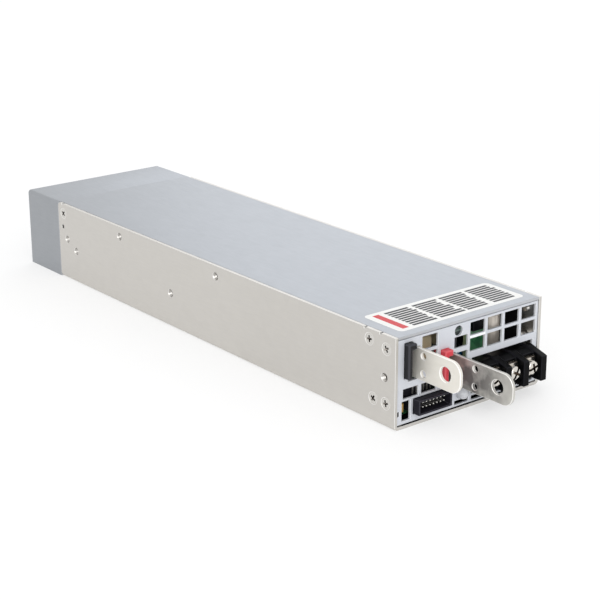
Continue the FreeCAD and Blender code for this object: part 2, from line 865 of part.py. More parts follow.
def header_x(place):
    """Return an X place on the signal header, measured from its middle."""
    return f"({DC_CENTRE} + header_shift + ({place}))"


def lamp_x():
    """Return the X place of the lamp, between the header and the terminal block."""
    return f"(({header_x('header_width / 2')} + {block_x('0')}) / 2 + lamp_shift)"


def panel_windows():
    """Return the plain oblong windows of the front panel, in rows and columns."""
    columns = [f"{AC_CENTRE} + grid_shift + {column} * window_pitch" for column in (-1.5, -0.5, 0.5, 1.5)]
    columns.append(f"{DC_CENTRE} + tab_window_shift")
    groups = []
    for row in range(2):
        height = about(f"case_height - window_row_drop - {row} * window_row_pitch", "window_height")
        groups.append([oblong(about(column, "window_width"), height) for column in columns])
    drops = [f"case_height - middle_window_drop - {row} * middle_window_pitch" for row in range(2)]
    middle = about("middle_window_x", "middle_window_width")
    groups.append([oblong(middle, about(drop, "middle_window_height")) for drop in drops])
    slits = [f"{DC_CENTRE} + slit_window_shift + {column} * slit_window_pitch" for column in range(2)]
    slit = about("slit_window_z", "slit_window_height")
    groups.append([oblong(about(centre, "slit_window_width"), slit) for centre in slits])
    upright = about(f"{DC_CENTRE} + upright_window_shift", "upright_window_width")
    groups[-1].append(oblong(upright, about("upright_window_z", "upright_window_height")))
    feet = [f"foot_slot_first + {column} * foot_slot_pitch" for column in range(5)]
    foot = about("foot_slot_z", "foot_slot_height")
    groups.append([oblong(about(centre, "foot_slot_width"), foot) for centre in feet])
    return groups


def make_front_panel():
    """Make the front panel, punched for air, for the terminals and for the signal header."""
    panel = body("panel_piece")
    face = (PANEL_FACE, PANEL_BACK)
    low = "chassis_sheet + panel_bottom_gap"
    pad(panel, "XZ_Plane", face, [oblong(about("0", f"2 * {LINER}"), (low, f"{CEILING} - panel_top_gap"))])
    flange = oblong(
        onward(f"{PANEL_FACE} + panel_sheet / 2", "panel_flange_length"),
        onward("panel_flange_low", "panel_flange_height"),
    )
    for sign in SIDES.values():
        side = rising((f"{sign} * {LINER}", f"{sign} * ({LINER} - panel_sheet)"))
        pad(panel, "YZ_Plane", side, [flange])
    threads = [Disc(y, z, "screw_shank_radius + screw_clearance") for y, z in LOWER_SCREWS]
    pocket(panel, "YZ_Plane", ACROSS, threads)
    through = (f"{PANEL_FACE} - {RUN_OUT}", f"{PANEL_BACK} + {RUN_OUT}")
    relief = about("panel_relief_z", "panel_relief_height")
    for sign in SIDES.values():
        corner = rising((f"{sign} * ({LINER} + {RUN_OUT})", f"{sign} * ({LINER} - panel_relief_width)"))
        pocket(panel, "XZ_Plane", through, [oblong(corner, relief)])
    for windows in panel_windows():
        pocket(panel, "XZ_Plane", through, windows)
    pocket(panel, "XZ_Plane", through, [
        Disc("trimmer_x", "case_height - trimmer_drop", "trimmer_hole_radius"),
        Disc(lamp_x(), "lamp_height", "lamp_radius + terminal_clearance"),
    ])
    gap = "opening_gap"
    pocket(panel, "XZ_Plane", through, [
        oblong(about(header_x("0"), f"header_width + 2 * {gap}"),
               (f"header_low - {gap}", f"header_low + header_height + {gap}")),
        oblong((block_x(f"-{gap} * 2"), block_x(f"block_width + {gap} * 2")),
               onward("block_opening_low", f"block_opening_height + {gap} * 3")),
    ])
    for index in range(2):
        corners = insulator_corners(index)
        left, bar = corners[0][0], corners[1][0]
        bottom, top = tab_span(index)
        slot = oblong((bar, f"{tab_left(index)} + tab_thickness + {gap}"),
                      (f"{bottom} - {gap}", f"{top} + {gap}"))
        seat = oblong((f"{left} - {gap} / 2", f"{corners[3][0]} + {gap} / 2"),
                      (f"{corners[0][1]} - {gap} / 2", f"{corners[4][1]} + {gap} / 2"))
        pocket(panel, "XZ_Plane", through, [slot])
        pocket(panel, "XZ_Plane", through, [seat])
    node(panel, "front_panel")


# Output tabs


def make_output_tabs():
    """Make both output tabs, round-ended plates that run through the panel to the main board."""
    for index, name in enumerate(("negative", "positive")):
        low, high = tab_span(index)
        end = f"({FRONT} - {name}_tab_reach)"
        inner = f"({FRONT} + tab_inner_length)"
        middle = f"({high} - tab_height / 2)"
        shape = [
            (end, low, "tab_corner_radius"),
            (f"{inner} - tab_leg_width", low),
            (f"{inner} - tab_leg_width", BOARD_TOP),
            (inner, BOARD_TOP),
            (inner, high),
            (end, high, "tab_corner_radius"),
        ]
        tab = body(f"{name}_tab_plate")
        span = onward(tab_left(index), "tab_thickness")
        pad(tab, "YZ_Plane", span, [shape])
        holes = [Disc(f"{end} + tab_hole_inset", middle, "tab_hole_radius")]
        for sign in SIDES.values():
            height = f"{middle} + {sign} * tab_small_hole_spacing / 2"
            holes.append(Disc(f"{end} + tab_small_hole_inset", height, "tab_small_hole_radius"))
        pocket(tab, "YZ_Plane", (f"{span[0]} - {RUN_OUT}", f"{span[1]} + {RUN_OUT}"), holes)
        node(tab, f"{name}_tab")
        shroud = body(f"{name}_insulator")
        depth = (f"{FRONT} - insulator_proud", f"{FRONT} + insulator_depth")
        pad(shroud, "XZ_Plane", depth, [insulator_corners(index)])
        node(shroud, f"{name}_tab_insulator")


# Input terminal block

BLOCK_PITCH = f"((block_width - barrier_width) / {BLOCK_POLES})"
POLE_WIDTH = f"({BLOCK_PITCH} - barrier_width)"
BLOCK_FACE = f"({FRONT} - block_face_reach)"
CONTACT_FACE = f"({BLOCK_FACE} - terminal_contact_thickness)"
CLAMP_FACE = f"({CONTACT_FACE} - terminal_clamp_thickness)"
SCREW_Z = f"({BOARD_TOP} + terminal_screw_height)"


def pole_x(pole):
    """Return the X place of a pole's middle."""
    return block_x(f"barrier_width / 2 + {BLOCK_PITCH} * {pole + 0.5}")


def make_terminal_block():
    """Make the barrier block: a body with a sloping roof, parted by taller barriers."""
    strip = body("terminal_strip")
    back = f"({FRONT} + block_depth)"
    tip = f"({FRONT} - barrier_reach)"
    roof = f"({BOARD_TOP} + barrier_back_height)"
    brow = f"({BOARD_TOP} + barrier_front_height)"
    slope = f"(({roof} - {brow}) / barrier_reach)"
    eave = f"{roof} - block_roof_drop - {slope} * block_face_reach"
    core = [
        (BLOCK_FACE, BOARD_TOP),
        (back, BOARD_TOP),
        (back, f"{roof} - block_roof_drop"),
        (FRONT, f"{roof} - block_roof_drop"),
        (BLOCK_FACE, eave),
    ]
    pad(strip, "YZ_Plane", (block_x("0"), block_x("block_width")), [core])
    barrier = [(tip, BOARD_TOP), (back, BOARD_TOP), (back, roof), (FRONT, roof), (tip, brow)]
    for index in range(BLOCK_POLES + 1):
        left = block_x(f"{BLOCK_PITCH} * {index}")
        pad(strip, "YZ_Plane", onward(left, "barrier_width"), [barrier])
    bores = [
        Disc(pole_x(pole), SCREW_Z, "terminal_shank_radius + terminal_clearance")
        for pole in range(BLOCK_POLES)
    ]
    depth = f"{CLAMP_FACE} + terminal_shank_length + terminal_clearance"
    pocket(strip, "XZ_Plane", (f"{BLOCK_FACE} - {RUN_OUT}", depth), bores)
    node(strip, "terminal_block")


def bored_plate(name, x, y, width, height, radius):
    """Make an upright plate about a terminal screw, bored for its shank."""
    plate = block(f"{name}_blank", about(x, width), y, about(SCREW_Z, height))
    bore = rod(f"{name}_bore", "y", (x, SCREW_Z), y, radius)
    return cut(name, plate, [bore])


def make_terminals():
    """Make each pole's contact plate, its clamp plate and its screw."""
    contacts = []
    bore = "terminal_shank_radius + terminal_clearance"
    for pole, name in enumerate(("left", "middle", "right")):
        x = pole_x(pole)
        contacts.append(bored_plate(f"terminal_contact_{name}", x, (CONTACT_FACE, BLOCK_FACE),
                                    f"{POLE_WIDTH} - 2 * terminal_contact_side_gap",
                                    "terminal_clamp_height", bore))
        clamp = bored_plate(f"clamp_plate_{name}", x, (CLAMP_FACE, CONTACT_FACE),
                            f"{POLE_WIDTH} - 2 * terminal_clamp_side_gap", "terminal_clamp_height",
                            "terminal_shank_radius + terminal_clearance / 2")
        node(clamp, f"terminal_clamp_{name}")
        head = rod(f"terminal_head_{name}", "y", (x, SCREW_Z),
                   (f"{CLAMP_FACE} - terminal_head_length", CLAMP_FACE), "terminal_head_radius")
        shank = rod(f"terminal_shank_{name}", "y", (x, SCREW_Z),
                    onward(CLAMP_FACE, "terminal_shank_length"), "terminal_shank_radius")
        node(join(f"clamp_screw_{name}", [head, shank]), f"terminal_screw_{name}")
    node(group("terminal_contact_set", contacts), "terminal_contacts")


# Control card with the signal header, the trimmer and the lamp


def make_control_card():
    """Make the upright card behind the front panel, cut away round both tabs."""
    side = f"-({INNER_SIDE} - card_side_gap)"
    low = "chassis_sheet + card_low_gap"
    under_negative = f"{tab_span(0)[0]} - card_tab_gap"
    under_positive = f"{tab_span(1)[0]} - card_tab_gap"
    high = f"{CEILING} - card_top_gap"
    bridge = f"{high} - card_bridge_height"
    step = "board_step_x - card_seat_gap"
    seat = f"{BOARD_TOP} + card_seat_gap"
    shape = [
        (side, low),
        (step, low),
        (step, seat),
        ("card_tower_right", seat),
        ("card_tower_right", high),
        ("card_bridge_left", high),
        ("card_bridge_left", bridge),
        ("card_tower_left", bridge),
        ("card_tower_left", under_positive),
        ("card_step_x", under_positive),
        ("card_step_x", under_negative),
        (side, under_negative),
    ]
    card = body("control_card")
    pad(card, "XZ_Plane", (CARD_FACE, CARD_BACK), [shape])
    node(card, "control_board")
    shell = block(
        "connector_shell",
        about("(card_tower_left + card_tower_right) / 2", "connector_width"),
        (f"{CARD_FACE} - connector_depth", CARD_FACE),
        about(f"{high} - connector_drop", "connector_height"),
    )
    node(shell, "board_connector")


def make_signal_header():
    """Make the shrouded header and its two rows of square pins."""
    shroud = body("header_shroud")
    centre = header_x("0")
    tip = f"({FRONT} - header_proud)"
    z = onward("header_low", "header_height")
    middle = "(header_low + header_height / 2)"
    pad(shroud, "XZ_Plane", (tip, CARD_FACE), [oblong(about(centre, "header_width"), z)])
    floor = f"({tip} + header_cavity_depth)"
    cavity = oblong(about(centre, "header_width - 2 * header_wall"),
                    about(middle, "header_height - 2 * header_wall"))
    pocket(shroud, "XZ_Plane", (f"{tip} - {RUN_OUT}", floor), [cavity])
    node(shroud, "signal_header")
    pins = []
    for row in range(HEADER_ROWS):
        for column in range(HEADER_COLUMNS):
            x = f"{centre} + {column - (HEADER_COLUMNS - 1) / 2} * header_pin_pitch"
            height = f"{middle} + header_pin_rise + {row - (HEADER_ROWS - 1) / 2} * header_pin_pitch"
            pins.append(block(
                f"header_pin_{row}_{column}",
                about(x, "header_pin_side"),
                (f"{floor} - header_pin_length", floor),
                about(height, "header_pin_side"),
            ))
    node(group("header_pin_set", pins), "header_pins")


def make_trimmer():
    """Make the voltage trimmer: a square body on the card and a slotted rotor behind the panel."""
    centre = ("trimmer_x", "case_height - trimmer_drop")
    face = f"({PANEL_BACK} + trimmer_face_gap)"
    back = f"({face} + trimmer_rotor_thickness)"
    seat = f"({back} + trimmer_face_gap)"
    disc = rod("trimmer_disc", "y", centre, (face, back), "trimmer_rotor_radius")
    stem_end = f"{seat} + trimmer_stem_length"
    stem = rod("trimmer_stem", "y", centre, (back, stem_end), "trimmer_stem_radius")
    slot = block(
        "trimmer_slot",
        about(centre[0], "2 * trimmer_rotor_radius + 1"),
        (f"{face} - {RUN_OUT}", f"{face} + trimmer_slot_depth"),
        about(centre[1], "trimmer_slot_width"),
    )
    node(cut("trimmer_turn", join("trimmer_turn_blank", [disc, stem]), [slot]), "trimmer_rotor")
    case = block("trimmer_case", about(centre[0], "trimmer_body_side"), (seat, CARD_FACE),
                 about(centre[1], "trimmer_body_side"))
    bore = rod("trimmer_bore", "y", centre, (f"{seat} - {RUN_OUT}", f"{stem_end} + trimmer_face_gap"),
               "trimmer_stem_radius + trimmer_running_gap")
    node(cut("trimmer_housing", case, [bore]), "trimmer_body")


def make_lamp():
    """Make the indicator lamp: a round lens with a domed end, standing on the card."""
    centre = (lamp_x(), "lamp_height")
    brim = f"({FRONT} - lamp_proud)"
    barrel = rod("lamp_barrel", "y", centre, (brim, CARD_FACE), "lamp_radius")
    dome = doc.addObject("Part::Sphere", "lamp_dome")
    bind(dome, "Radius", "lamp_radius")
    for axis, text in zip("xyz", (centre[0], brim, centre[1])):
        bind(dome, f"Placement.Base.{axis}", text)
    node(join("lamp_lens", [barrel, dome]), "indicator_lamp")


# Main board and what holds it


def board_posts():
    """Return the X and Y places of the standoffs."""
    side = f"({BOARD_SIDE} - board_screw_inset)"
    ends = (f"({CARD_BACK} + 2 * board_screw_inset)", f"(({BAYS_FRONT} + {BOARD_REAR}) / 2)",
            f"({BOARD_REAR} - board_screw_inset)")
    return [(f"{sign} * {side}", y) for sign in SIDES.values() for y in ends]


def make_main_board():
    """Make the insulating sheet, the standoffs, the main board and its screws."""
    bottom = block(
        "insulation_blank",
        about("0", f"2 * ({BOARD_SIDE} - insulation_margin)"),
        (f"{CARD_BACK} + insulation_margin", f"{BOARD_REAR} - insulation_margin"),
        onward("chassis_sheet", "insulation_thickness"),
    )
    holes = []
    posts = []
    screws = []
    film = onward("chassis_sheet", "insulation_thickness")
    deep = f"{BOARD_TOP} - board_screw_shank_length"
    for i, place in enumerate(board_posts()):
        holes.append(rod(f"insulation_hole_{i}", "z", place, film, "standoff_radius + opening_gap"))
        post = rod(f"standoff_blank_{i}", "z", place, ("chassis_sheet", BOARD_LOW), "standoff_radius")
        bore = rod(f"standoff_bore_{i}", "z", place, (f"{deep} - board_screw_gap", BOARD_LOW),
                   "board_screw_radius + board_screw_gap")
        posts.append(cut(f"standoff_{i}", post, [bore]))
        head = rod(f"board_screw_head_{i}", "z", place, onward(BOARD_TOP, "board_screw_head_length"),
                   "board_screw_head_radius")
        shank = rod(f"board_screw_shank_{i}", "z", place, (deep, BOARD_TOP), "board_screw_radius")
        screws.append(join(f"board_screw_{i}", [head, shank]))
    node(cut("insulation_piece", bottom, holes), "insulation_sheet")
    node(group("standoff_set", posts), "board_standoffs")
    node(group("board_screw_set", screws), "board_screws")
    board = body("main_board_piece")
    ahead = f"({PANEL_BACK} + board_panel_gap)"
    behind_card = f"({CARD_BACK} + card_seat_gap)"
    shape = [
        (f"-{BOARD_SIDE}", behind_card),
        ("board_step_x", behind_card),
        ("board_step_x", ahead),
        (BOARD_SIDE, ahead),
        (BOARD_SIDE, BOARD_REAR),
        (f"-{BOARD_SIDE}", BOARD_REAR),
    ]
    pad(board, "XY_Plane", (BOARD_LOW, BOARD_TOP), [shape])
    drills = [Disc(x, y, "board_screw_radius + board_screw_gap") for x, y in board_posts()]
    pocket(board, "XY_Plane", (f"{BOARD_LOW} - {RUN_OUT}", f"{BOARD_TOP} + {RUN_OUT}"), drills)
    node(board, "main_board")


# Fans


def make_fans():
    """Make both fans: a square frame with struts and a bearing tube, and a rotor inside it."""
    stators = []
    for side, sign in SIDES.items():
        x = f"{sign} * {FAN_X}"
        frame = make_fan_frame(f"{side}_fan_shell")
        rotor = make_fan_rotor(f"{side}_fan_wheel")
        for piece in (frame, rotor):
            bind(piece, "Placement.Base.x", x)
            bind(piece, "Placement.Base.z", FAN_Z)
        node(frame, f"{side}_fan_frame")
        node(rotor, f"{side}_fan_rotor")
        tube_end = f"({FAN_BACK} - fan_strut_depth - fan_tube_length)"
        span = onward(f"{tube_end} + fan_hub_gap / 2", "fan_stator_length")
        coil = rod(f"{side}_stator_blank", "y", (x, FAN_Z), span, "fan_stator_radius")
        bore = rod(f"{side}_stator_bore", "y", (x, FAN_Z), span, "fan_tube_radius + fan_shaft_gap")
        stators.append(cut(f"{side}_stator", coil, [bore]))
    node(group("stator_set", stators), "fan_stators")


def make_fan_frame(name):
    """Make a fan's moulded frame about the Y axis."""
    frame = body(name)
    half = f"{FAN_SIZE} / 2"
    square = oblong((f"-{half}", half), (f"-{half}", half), "fan_corner_radius")
    pad(frame, "XZ_Plane", (FAN_FRONT, FAN_BACK), [square])
    pocket(frame, "XZ_Plane", (f"{FAN_FRONT} - {RUN_OUT}", f"{FAN_BACK} + {RUN_OUT}"),
           [Disc("0", "0", FAN_BORE)])
    strut_front = f"({FAN_BACK} - fan_strut_depth)"
    reach = f"({FAN_BORE} + fan_wall / 2)"
    for x, z in ((reach, "fan_strut_width / 2"), ("fan_strut_width / 2", reach)):
        bar = oblong((f"-({x})", x), (f"-({z})", z))
        pad(frame, "XZ_Plane", (strut_front, FAN_BACK), [bar])
    pad(frame, "XZ_Plane", (strut_front, FAN_BACK), [Disc("0", "0", "fan_boss_radius")])
    tube_end = f"({strut_front} - fan_tube_length)"
    pad(frame, "XZ_Plane", (tube_end, FAN_BACK), [Disc("0", "0", "fan_tube_radius")])
    bore = Disc("0", "0", "fan_shaft_radius + fan_shaft_gap")
    pocket(frame, "XZ_Plane", (f"{tube_end} - {RUN_OUT}", f"{tube_end} + fan_bore_depth"), [bore])
    inset = f"({FAN_SIZE} / 2 - fan_screw_inset)"
    pilots = [
        Disc(f"{x} * {inset}", f"{z} * {inset}", "screw_shank_radius + screw_clearance")
        for x in SIDES.values()
        for z in SIDES.values()
    ]
    pocket(frame, "XZ_Plane", (f"{FAN_BACK} - screw_length", f"{FAN_BACK} + {RUN_OUT}"), pilots)
    return frame


def make_fan_rotor(name):
    """Make a fan's wheel about the Y axis: a hub cup on a shaft, with twisted blades."""
    wheel = body(name)
    hub_back = f"({FAN_BACK} - fan_strut_depth - fan_hub_gap)"
    hub_front = f"({hub_back} - fan_hub_length)"
    pad(wheel, "XZ_Plane", (hub_front, hub_back), [Disc("0", "0", "fan_hub_radius")])
    pocket(wheel, "XZ_Plane", (f"{hub_front} + fan_hub_wall", f"{hub_back} + {RUN_OUT}"),
           [Disc("0", "0", "fan_hub_radius - fan_hub_wall")])
    tube_end = f"({FAN_BACK} - fan_strut_depth - fan_tube_length)"
    shaft_end = f"({tube_end} + fan_bore_depth - fan_shaft_gap)"
    shaft_start = f"{hub_front} + fan_hub_wall / 2"
    pad(wheel, "XZ_Plane", (shaft_start, shaft_end), [Disc("0", "0", "fan_shaft_radius")])
    middle = f"(({hub_front} + {hub_back}) / 2)"
    root = "fan_hub_radius - fan_hub_wall / 2"
    tip = f"({FAN_BORE} - fan_tip_gap)"
    blade = wheel.newObject("PartDesign::AdditiveLoft", f"{name}_blade")
    blade.Profile = sketch(wheel, "YZ_Plane", root, [blade_section(middle, "blade_root_sweep")])
    outer_end = blade_section(middle, "blade_tip_sweep")
    blade.Sections = [sketch(wheel, "YZ_Plane", f"{tip} + {RUN_OUT}", [outer_end])]
    blade.Ruled = True
    settle(wheel, blade)
    ring = wheel.newObject("PartDesign::PolarPattern", f"{name}_blades")
    ring.Originals = [blade]
    ring.Axis = (origin_plane(wheel, "Y_Axis"), [""])
    ring.Angle = 360
    ring.Occurrences = FAN_BLADES
    settle(wheel, ring)
    trim = wheel.newObject("PartDesign::Groove", f"{name}_tips")
    outer = oblong((tip, f"{tip} + fan_hub_radius"), (hub_front, hub_back))
    trim.Profile = sketch(wheel, "XY_Plane", "0", [outer])
    trim.ReferenceAxis = (origin_plane(wheel, "Y_Axis"), [""])
    trim.Angle = 360
    settle(wheel, trim)
    return wheel


def blade_section(middle, sweep):
    """Return a blade's slanted section in Y and Z."""
    front = f"{middle} - blade_length / 2"
    back = f"{middle} + blade_length / 2"
    half = "blade_thickness / 2"
    return [
        (front, f"-{sweep} / 2 - {half}"),
        (back, f"{sweep} / 2 - {half}"),
        (back, f"{sweep} / 2 + {half}"),
        (front, f"-{sweep} / 2 + {half}"),
    ]


def make_fan_screws():
    """Make the countersunk screws that hold the fans to the rear wall."""
    screws = [flat_screw(f"fan_screw_{i}", "y", 1, place, REAR) for i, place in enumerate(FAN_SCREWS)]
    node(group("fan_screw_set", screws), "fan_screws")


# Parts on the main board


def make_input_filter():
    """Make the input side: fuse, capacitors and both filter chokes."""
    fuse_z = f"{BOARD_TOP} + fuse_cap_radius"
    fuse_y = f"{FRONT} + fuse_y"
    start, end = about(AC_CENTRE, "fuse_length")
    tube = rod("fuse_tube", "x", (fuse_y, fuse_z), (start, end), "fuse_radius")
    caps = [
        rod(f"fuse_cap_{i}", "x", (fuse_y, fuse_z), span, "fuse_cap_radius")
        for i, span in enumerate([onward(start, "fuse_cap_length"), (f"{end} - fuse_cap_length", end)])
    ]
    node(join("fuse_piece", [tube, *caps]), "input_fuse")
    place = (f"{AC_CENTRE} + input_capacitor_shift", f"{FRONT} + input_capacitor_y")
    can = rod("input_can", "z", place, onward(BOARD_TOP, "input_capacitor_height"),
              "input_capacitor_radius")
    node(can, "input_capacitor")
    line = block("line_box", about(AC_CENTRE, "line_capacitor_length"),
                 about(f"{FRONT} + line_capacitor_y", "line_capacitor_width"),
                 onward(BOARD_TOP, "line_capacitor_height"))
    node(line, "line_capacitor")
    for index, name in enumerate(("front", "rear"), start=1):
        node(make_choke(f"filter_ring_{name}", AC_CENTRE, bay(index)), f"filter_choke_{name}")
    discs = []
    between = f"({bay(1)} + {bay(2)}) / 2"
    for i in (-1.5, -0.5, 0.5, 1.5):
        x = f"{AC_CENTRE} + {i} * disc_pitch"
        discs.append(rod(f"noise_disc_{len(discs)}", "y", (x, f"{BOARD_TOP} + disc_radius"),
                         about(between, "disc_thickness"), "disc_radius"))
    node(group("noise_disc_set", discs), "noise_capacitors")


def make_choke(name, x, y):
    """Make an upright ring choke on its foot."""
    low = f"({BOARD_TOP} + choke_base)"
    middle = f"{low} + choke_radius"
    span = about(y, "choke_thickness")
    ring = rod(f"{name}_ring", "y", (x, middle), span, "choke_radius")
    hole = rod(f"{name}_hole", "y", (x, middle), span, "choke_hole_radius")
    foot = block(f"{name}_foot", about(x, "choke_radius"), span, (BOARD_TOP, f"{low} + choke_base"))
    return cut(name, join(f"{name}_blank", [ring, foot]), [hole])


def make_rectifier_stage():
    """Make the inrush relay and thermistor, the bridge, the boost choke and the bulk capacitors."""
    front = f"({bay(3)} - row_gap - relay_width)"
    relay = block("relay_box", about(AC_CENTRE, "relay_length"), onward(front, "relay_width"),
                  onward(BOARD_TOP, "relay_height"))
    node(relay, "inrush_relay")
    disc = rod("thermistor_disc", "y", (AC_CENTRE, f"{BOARD_TOP} + thermistor_radius"),
               about(bay(3), "thermistor_thickness"), "thermistor_radius")
    node(disc, "inrush_thermistor")
    behind = f"{bay(3)} + 2 * row_gap"
    bridge = block("bridge_box", about(AC_CENTRE, "bridge_length"), onward(behind, "bridge_thickness"),
                   onward(BOARD_TOP, "bridge_height"))
    node(bridge, "bridge_rectifier")
    node(make_choke("boost_ring", AC_CENTRE, bay(4)), "boost_choke")
    for index, name in enumerate(("front", "rear"), start=5):
        can = rod(f"bulk_can_{name}", "y", (AC_CENTRE, f"{BOARD_TOP} + bulk_radius"),
                  about(bay(index), "bulk_length"), "bulk_radius")
        node(can, f"bulk_capacitor_{name}")


def make_wound_core(name, x, y, size):
    """Make a closed core with a middle leg, and the winding about that leg."""
    low = BOARD_TOP
    high = f"({low} + {size}_height)"
    window = f"(({size}_width / 2 - {size}_leg / 2 - {size}_yoke))"
    core = body(f"{name}_core_piece")
    depth = about(y, f"{size}_depth")
    pad(core, "XZ_Plane", depth, [oblong(about(x, f"{size}_width"), (low, high))])
    inner_z = (f"{low} + {size}_yoke", f"{high} - {size}_yoke")
    windows = []
    for sign in SIDES.values():
        centre = f"{x} + {sign} * ({size}_leg / 2 + {window} / 2)"
        windows.append(oblong(about(centre, window), inner_z))
    pocket(core, "XZ_Plane", (f"{depth[0]} - {RUN_OUT}", f"{depth[1]} + {RUN_OUT}"), windows)
    node(core, f"{name}_core")
    wound = body(f"{name}_winding_piece")
    coil_z = (f"{inner_z[0]} + winding_gap", f"{inner_z[1]} - winding_gap")
    outside = oblong(about(x, f"{size}_leg + 2 * {window} - 2 * winding_gap"),
                     about(y, f"{size}_depth + 2 * winding_bulge"))
    leg = oblong(about(x, f"{size}_leg + 2 * winding_gap"), about(y, f"{size}_depth + 2 * winding_gap"))
    pad(wound, "XY_Plane", coil_z, [outside])
    pocket(wound, "XY_Plane", (f"{coil_z[0]} - {RUN_OUT}", f"{coil_z[1]} + {RUN_OUT}"), [leg])
    node(wound, f"{name}_winding")


def make_heatsink(name, y):
    """Make a finned heatsink on the main board, with a row of transistors on its flat side."""
    low = BOARD_TOP
    high = f"({BOARD_TOP} + sink_height)"
    back = f"({DC_CENTRE} - sink_spine / 2)"
    face = f"({DC_CENTRE} + sink_spine / 2)"
    tip = f"({back} - sink_fin_length)"
    profile = [(face, low), (face, high)]
    for fin in range(SINK_FINS):
        top = f"({high} - {fin} * sink_fin_pitch)"
        under = f"({top} - sink_fin)"
        profile += [(tip, top), (tip, under), (back, under)]
        if fin < SINK_FINS - 1:
            profile.append((back, f"({top} - sink_fin_pitch)"))
    profile.append((back, low))
    sink = body(f"{name}_sink")
    pad(sink, "XZ_Plane", about(y, "sink_length"), [list(reversed(profile))])
    node(sink, f"{name}_heatsink")
    cases = []
    head = f"({high} - sink_fin_pitch / 2)"
    for i in (-1, 0, 1):
        middle = f"{y} + {i} * transistor_pitch"
        cases.append(block(f"{name}_transistor_{len(cases)}", onward(face, "transistor_thickness"),
                           about(middle, "transistor_width"), (f"{head} - transistor_height", head)))
    node(group(f"{name}_transistor_set", cases), f"{name}_transistors")


def make_output_stage():
    """Make the converter and output side, from the inverter at the rear to the output capacitors."""
    make_heatsink("rectifier", bay(2))
    make_wound_core("transformer", DC_CENTRE, bay(3), "core")
    make_wound_core("resonant", DC_CENTRE, bay(4), "small_core")
    make_heatsink("inverter", bay(5))
    make_wound_core("auxiliary", DC_CENTRE, bay(6), "small_core")
    node(make_choke("output_ring", DC_CENTRE, bay(1)), "output_choke")
    film_x = f"{DC_CENTRE} + film_shift"
    film = block("output_film", about(film_x, "film_width"), about(f"{FRONT} + film_y", "film_depth"),
                 onward(BOARD_TOP, "film_height"))
    node(film, "film_capacitor")
    cans = []
    for i in (-1, 0, 1):
        x = f"{DC_CENTRE} + {i} * output_capacitor_pitch"
        cans.append(rod(f"output_can_{len(cans)}", "z", (x, f"{FRONT} + output_capacitor_y"),
                        onward(BOARD_TOP, "output_capacitor_height"), "output_capacitor_radius"))
    node(group("output_can_set", cans), "output_capacitors")
    middle = f"({bay(3)} + {bay(4)}) / 2"
    card = block("driver_card", about("0", "card_thickness"), about(middle, "driver_length"),
                 onward(BOARD_TOP, "driver_height"))
    node(card, "driver_board")


# Build, check and write


def check_document():
    """Stop if an object failed, a cut removed nothing or a finished piece has no sound shape."""
    for thing in doc.Objects:
        if "Invalid" in thing.State or "Error" in thing.State:
            raise RuntimeError(f"{thing.Name} failed: {thing.State}")
        is_cut = thing.TypeId in ("PartDesign::Pocket", "PartDesign::Groove")
        if is_cut and thing.Shape.Volume >= thing.BaseFeature.Shape.Volume:
            raise RuntimeError(f"{thing.Name} removes nothing")
    for piece in nodes:
        if piece.Shape.isNull() or not piece.Shape.isValid() or not piece.Shape.Solids:
            raise RuntimeError(f"{piece.Label} has no valid solid")


def main():
    """Build every piece, check the document and write one STEP file for each piece."""
    make_chassis()
    make_top_cover()
    make_front_panel()
    make_case_screws()
    make_mount_nuts()
    make_output_tabs()
    make_terminal_block()
    make_terminals()
    make_control_card()
    make_signal_header()
    make_trimmer()
    make_lamp()
    make_main_board()
    make_fans()
    make_fan_screws()
    make_input_filter()
    make_rectifier_stage()
    make_output_stage()
    doc.recompute()
    check_document()
    os.makedirs("parts", exist_ok=True)
    for piece in nodes:
        piece.Shape.exportStep(f"parts/{piece.Label}.step")
        print(piece.Label, len(piece.Shape.Solids), round(piece.Shape.Volume, 1))
    print(len(nodes), "pieces")


main()
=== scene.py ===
import json
import logging
import math
import random
from dataclasses import dataclass, field, replace
from enum import Enum
from functools import cache
from typing import Any, Callable, Iterable, Sequence

import bmesh
import bpy
from mathutils import Matrix, Vector
from mathutils.bvhtree import BVHTree


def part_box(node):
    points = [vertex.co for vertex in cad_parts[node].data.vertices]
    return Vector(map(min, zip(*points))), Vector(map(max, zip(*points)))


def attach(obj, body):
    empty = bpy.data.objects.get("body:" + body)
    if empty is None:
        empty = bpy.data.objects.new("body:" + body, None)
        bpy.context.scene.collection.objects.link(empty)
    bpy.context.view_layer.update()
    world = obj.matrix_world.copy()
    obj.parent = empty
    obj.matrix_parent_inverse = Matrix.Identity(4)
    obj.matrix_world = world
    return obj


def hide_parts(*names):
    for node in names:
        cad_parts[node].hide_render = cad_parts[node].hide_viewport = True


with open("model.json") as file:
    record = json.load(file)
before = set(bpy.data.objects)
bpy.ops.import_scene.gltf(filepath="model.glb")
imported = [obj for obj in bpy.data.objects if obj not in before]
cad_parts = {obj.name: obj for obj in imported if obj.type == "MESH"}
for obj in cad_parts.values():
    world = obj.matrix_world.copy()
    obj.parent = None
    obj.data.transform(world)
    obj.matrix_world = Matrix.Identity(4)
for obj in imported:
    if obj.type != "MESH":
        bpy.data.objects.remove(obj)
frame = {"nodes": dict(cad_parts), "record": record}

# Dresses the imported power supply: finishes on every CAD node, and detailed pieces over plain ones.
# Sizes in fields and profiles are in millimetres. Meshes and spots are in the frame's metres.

log = logging.getLogger("power_supply")

MM = 0.001
CASE_BODY = "case"
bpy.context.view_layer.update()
EDGE_MARK = "edge"
UP, FORWARD, BACKWARD = Vector((0, 0, 1)), Vector((0, -1, 0)), Vector((0, 1, 0))
BOARD_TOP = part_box("main_board")[1].z
CARD_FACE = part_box("control_board")[0].y

# Points nearer than these, in metres, are one point
NEAR, LATHE_NEAR = 1e-6, 1e-7
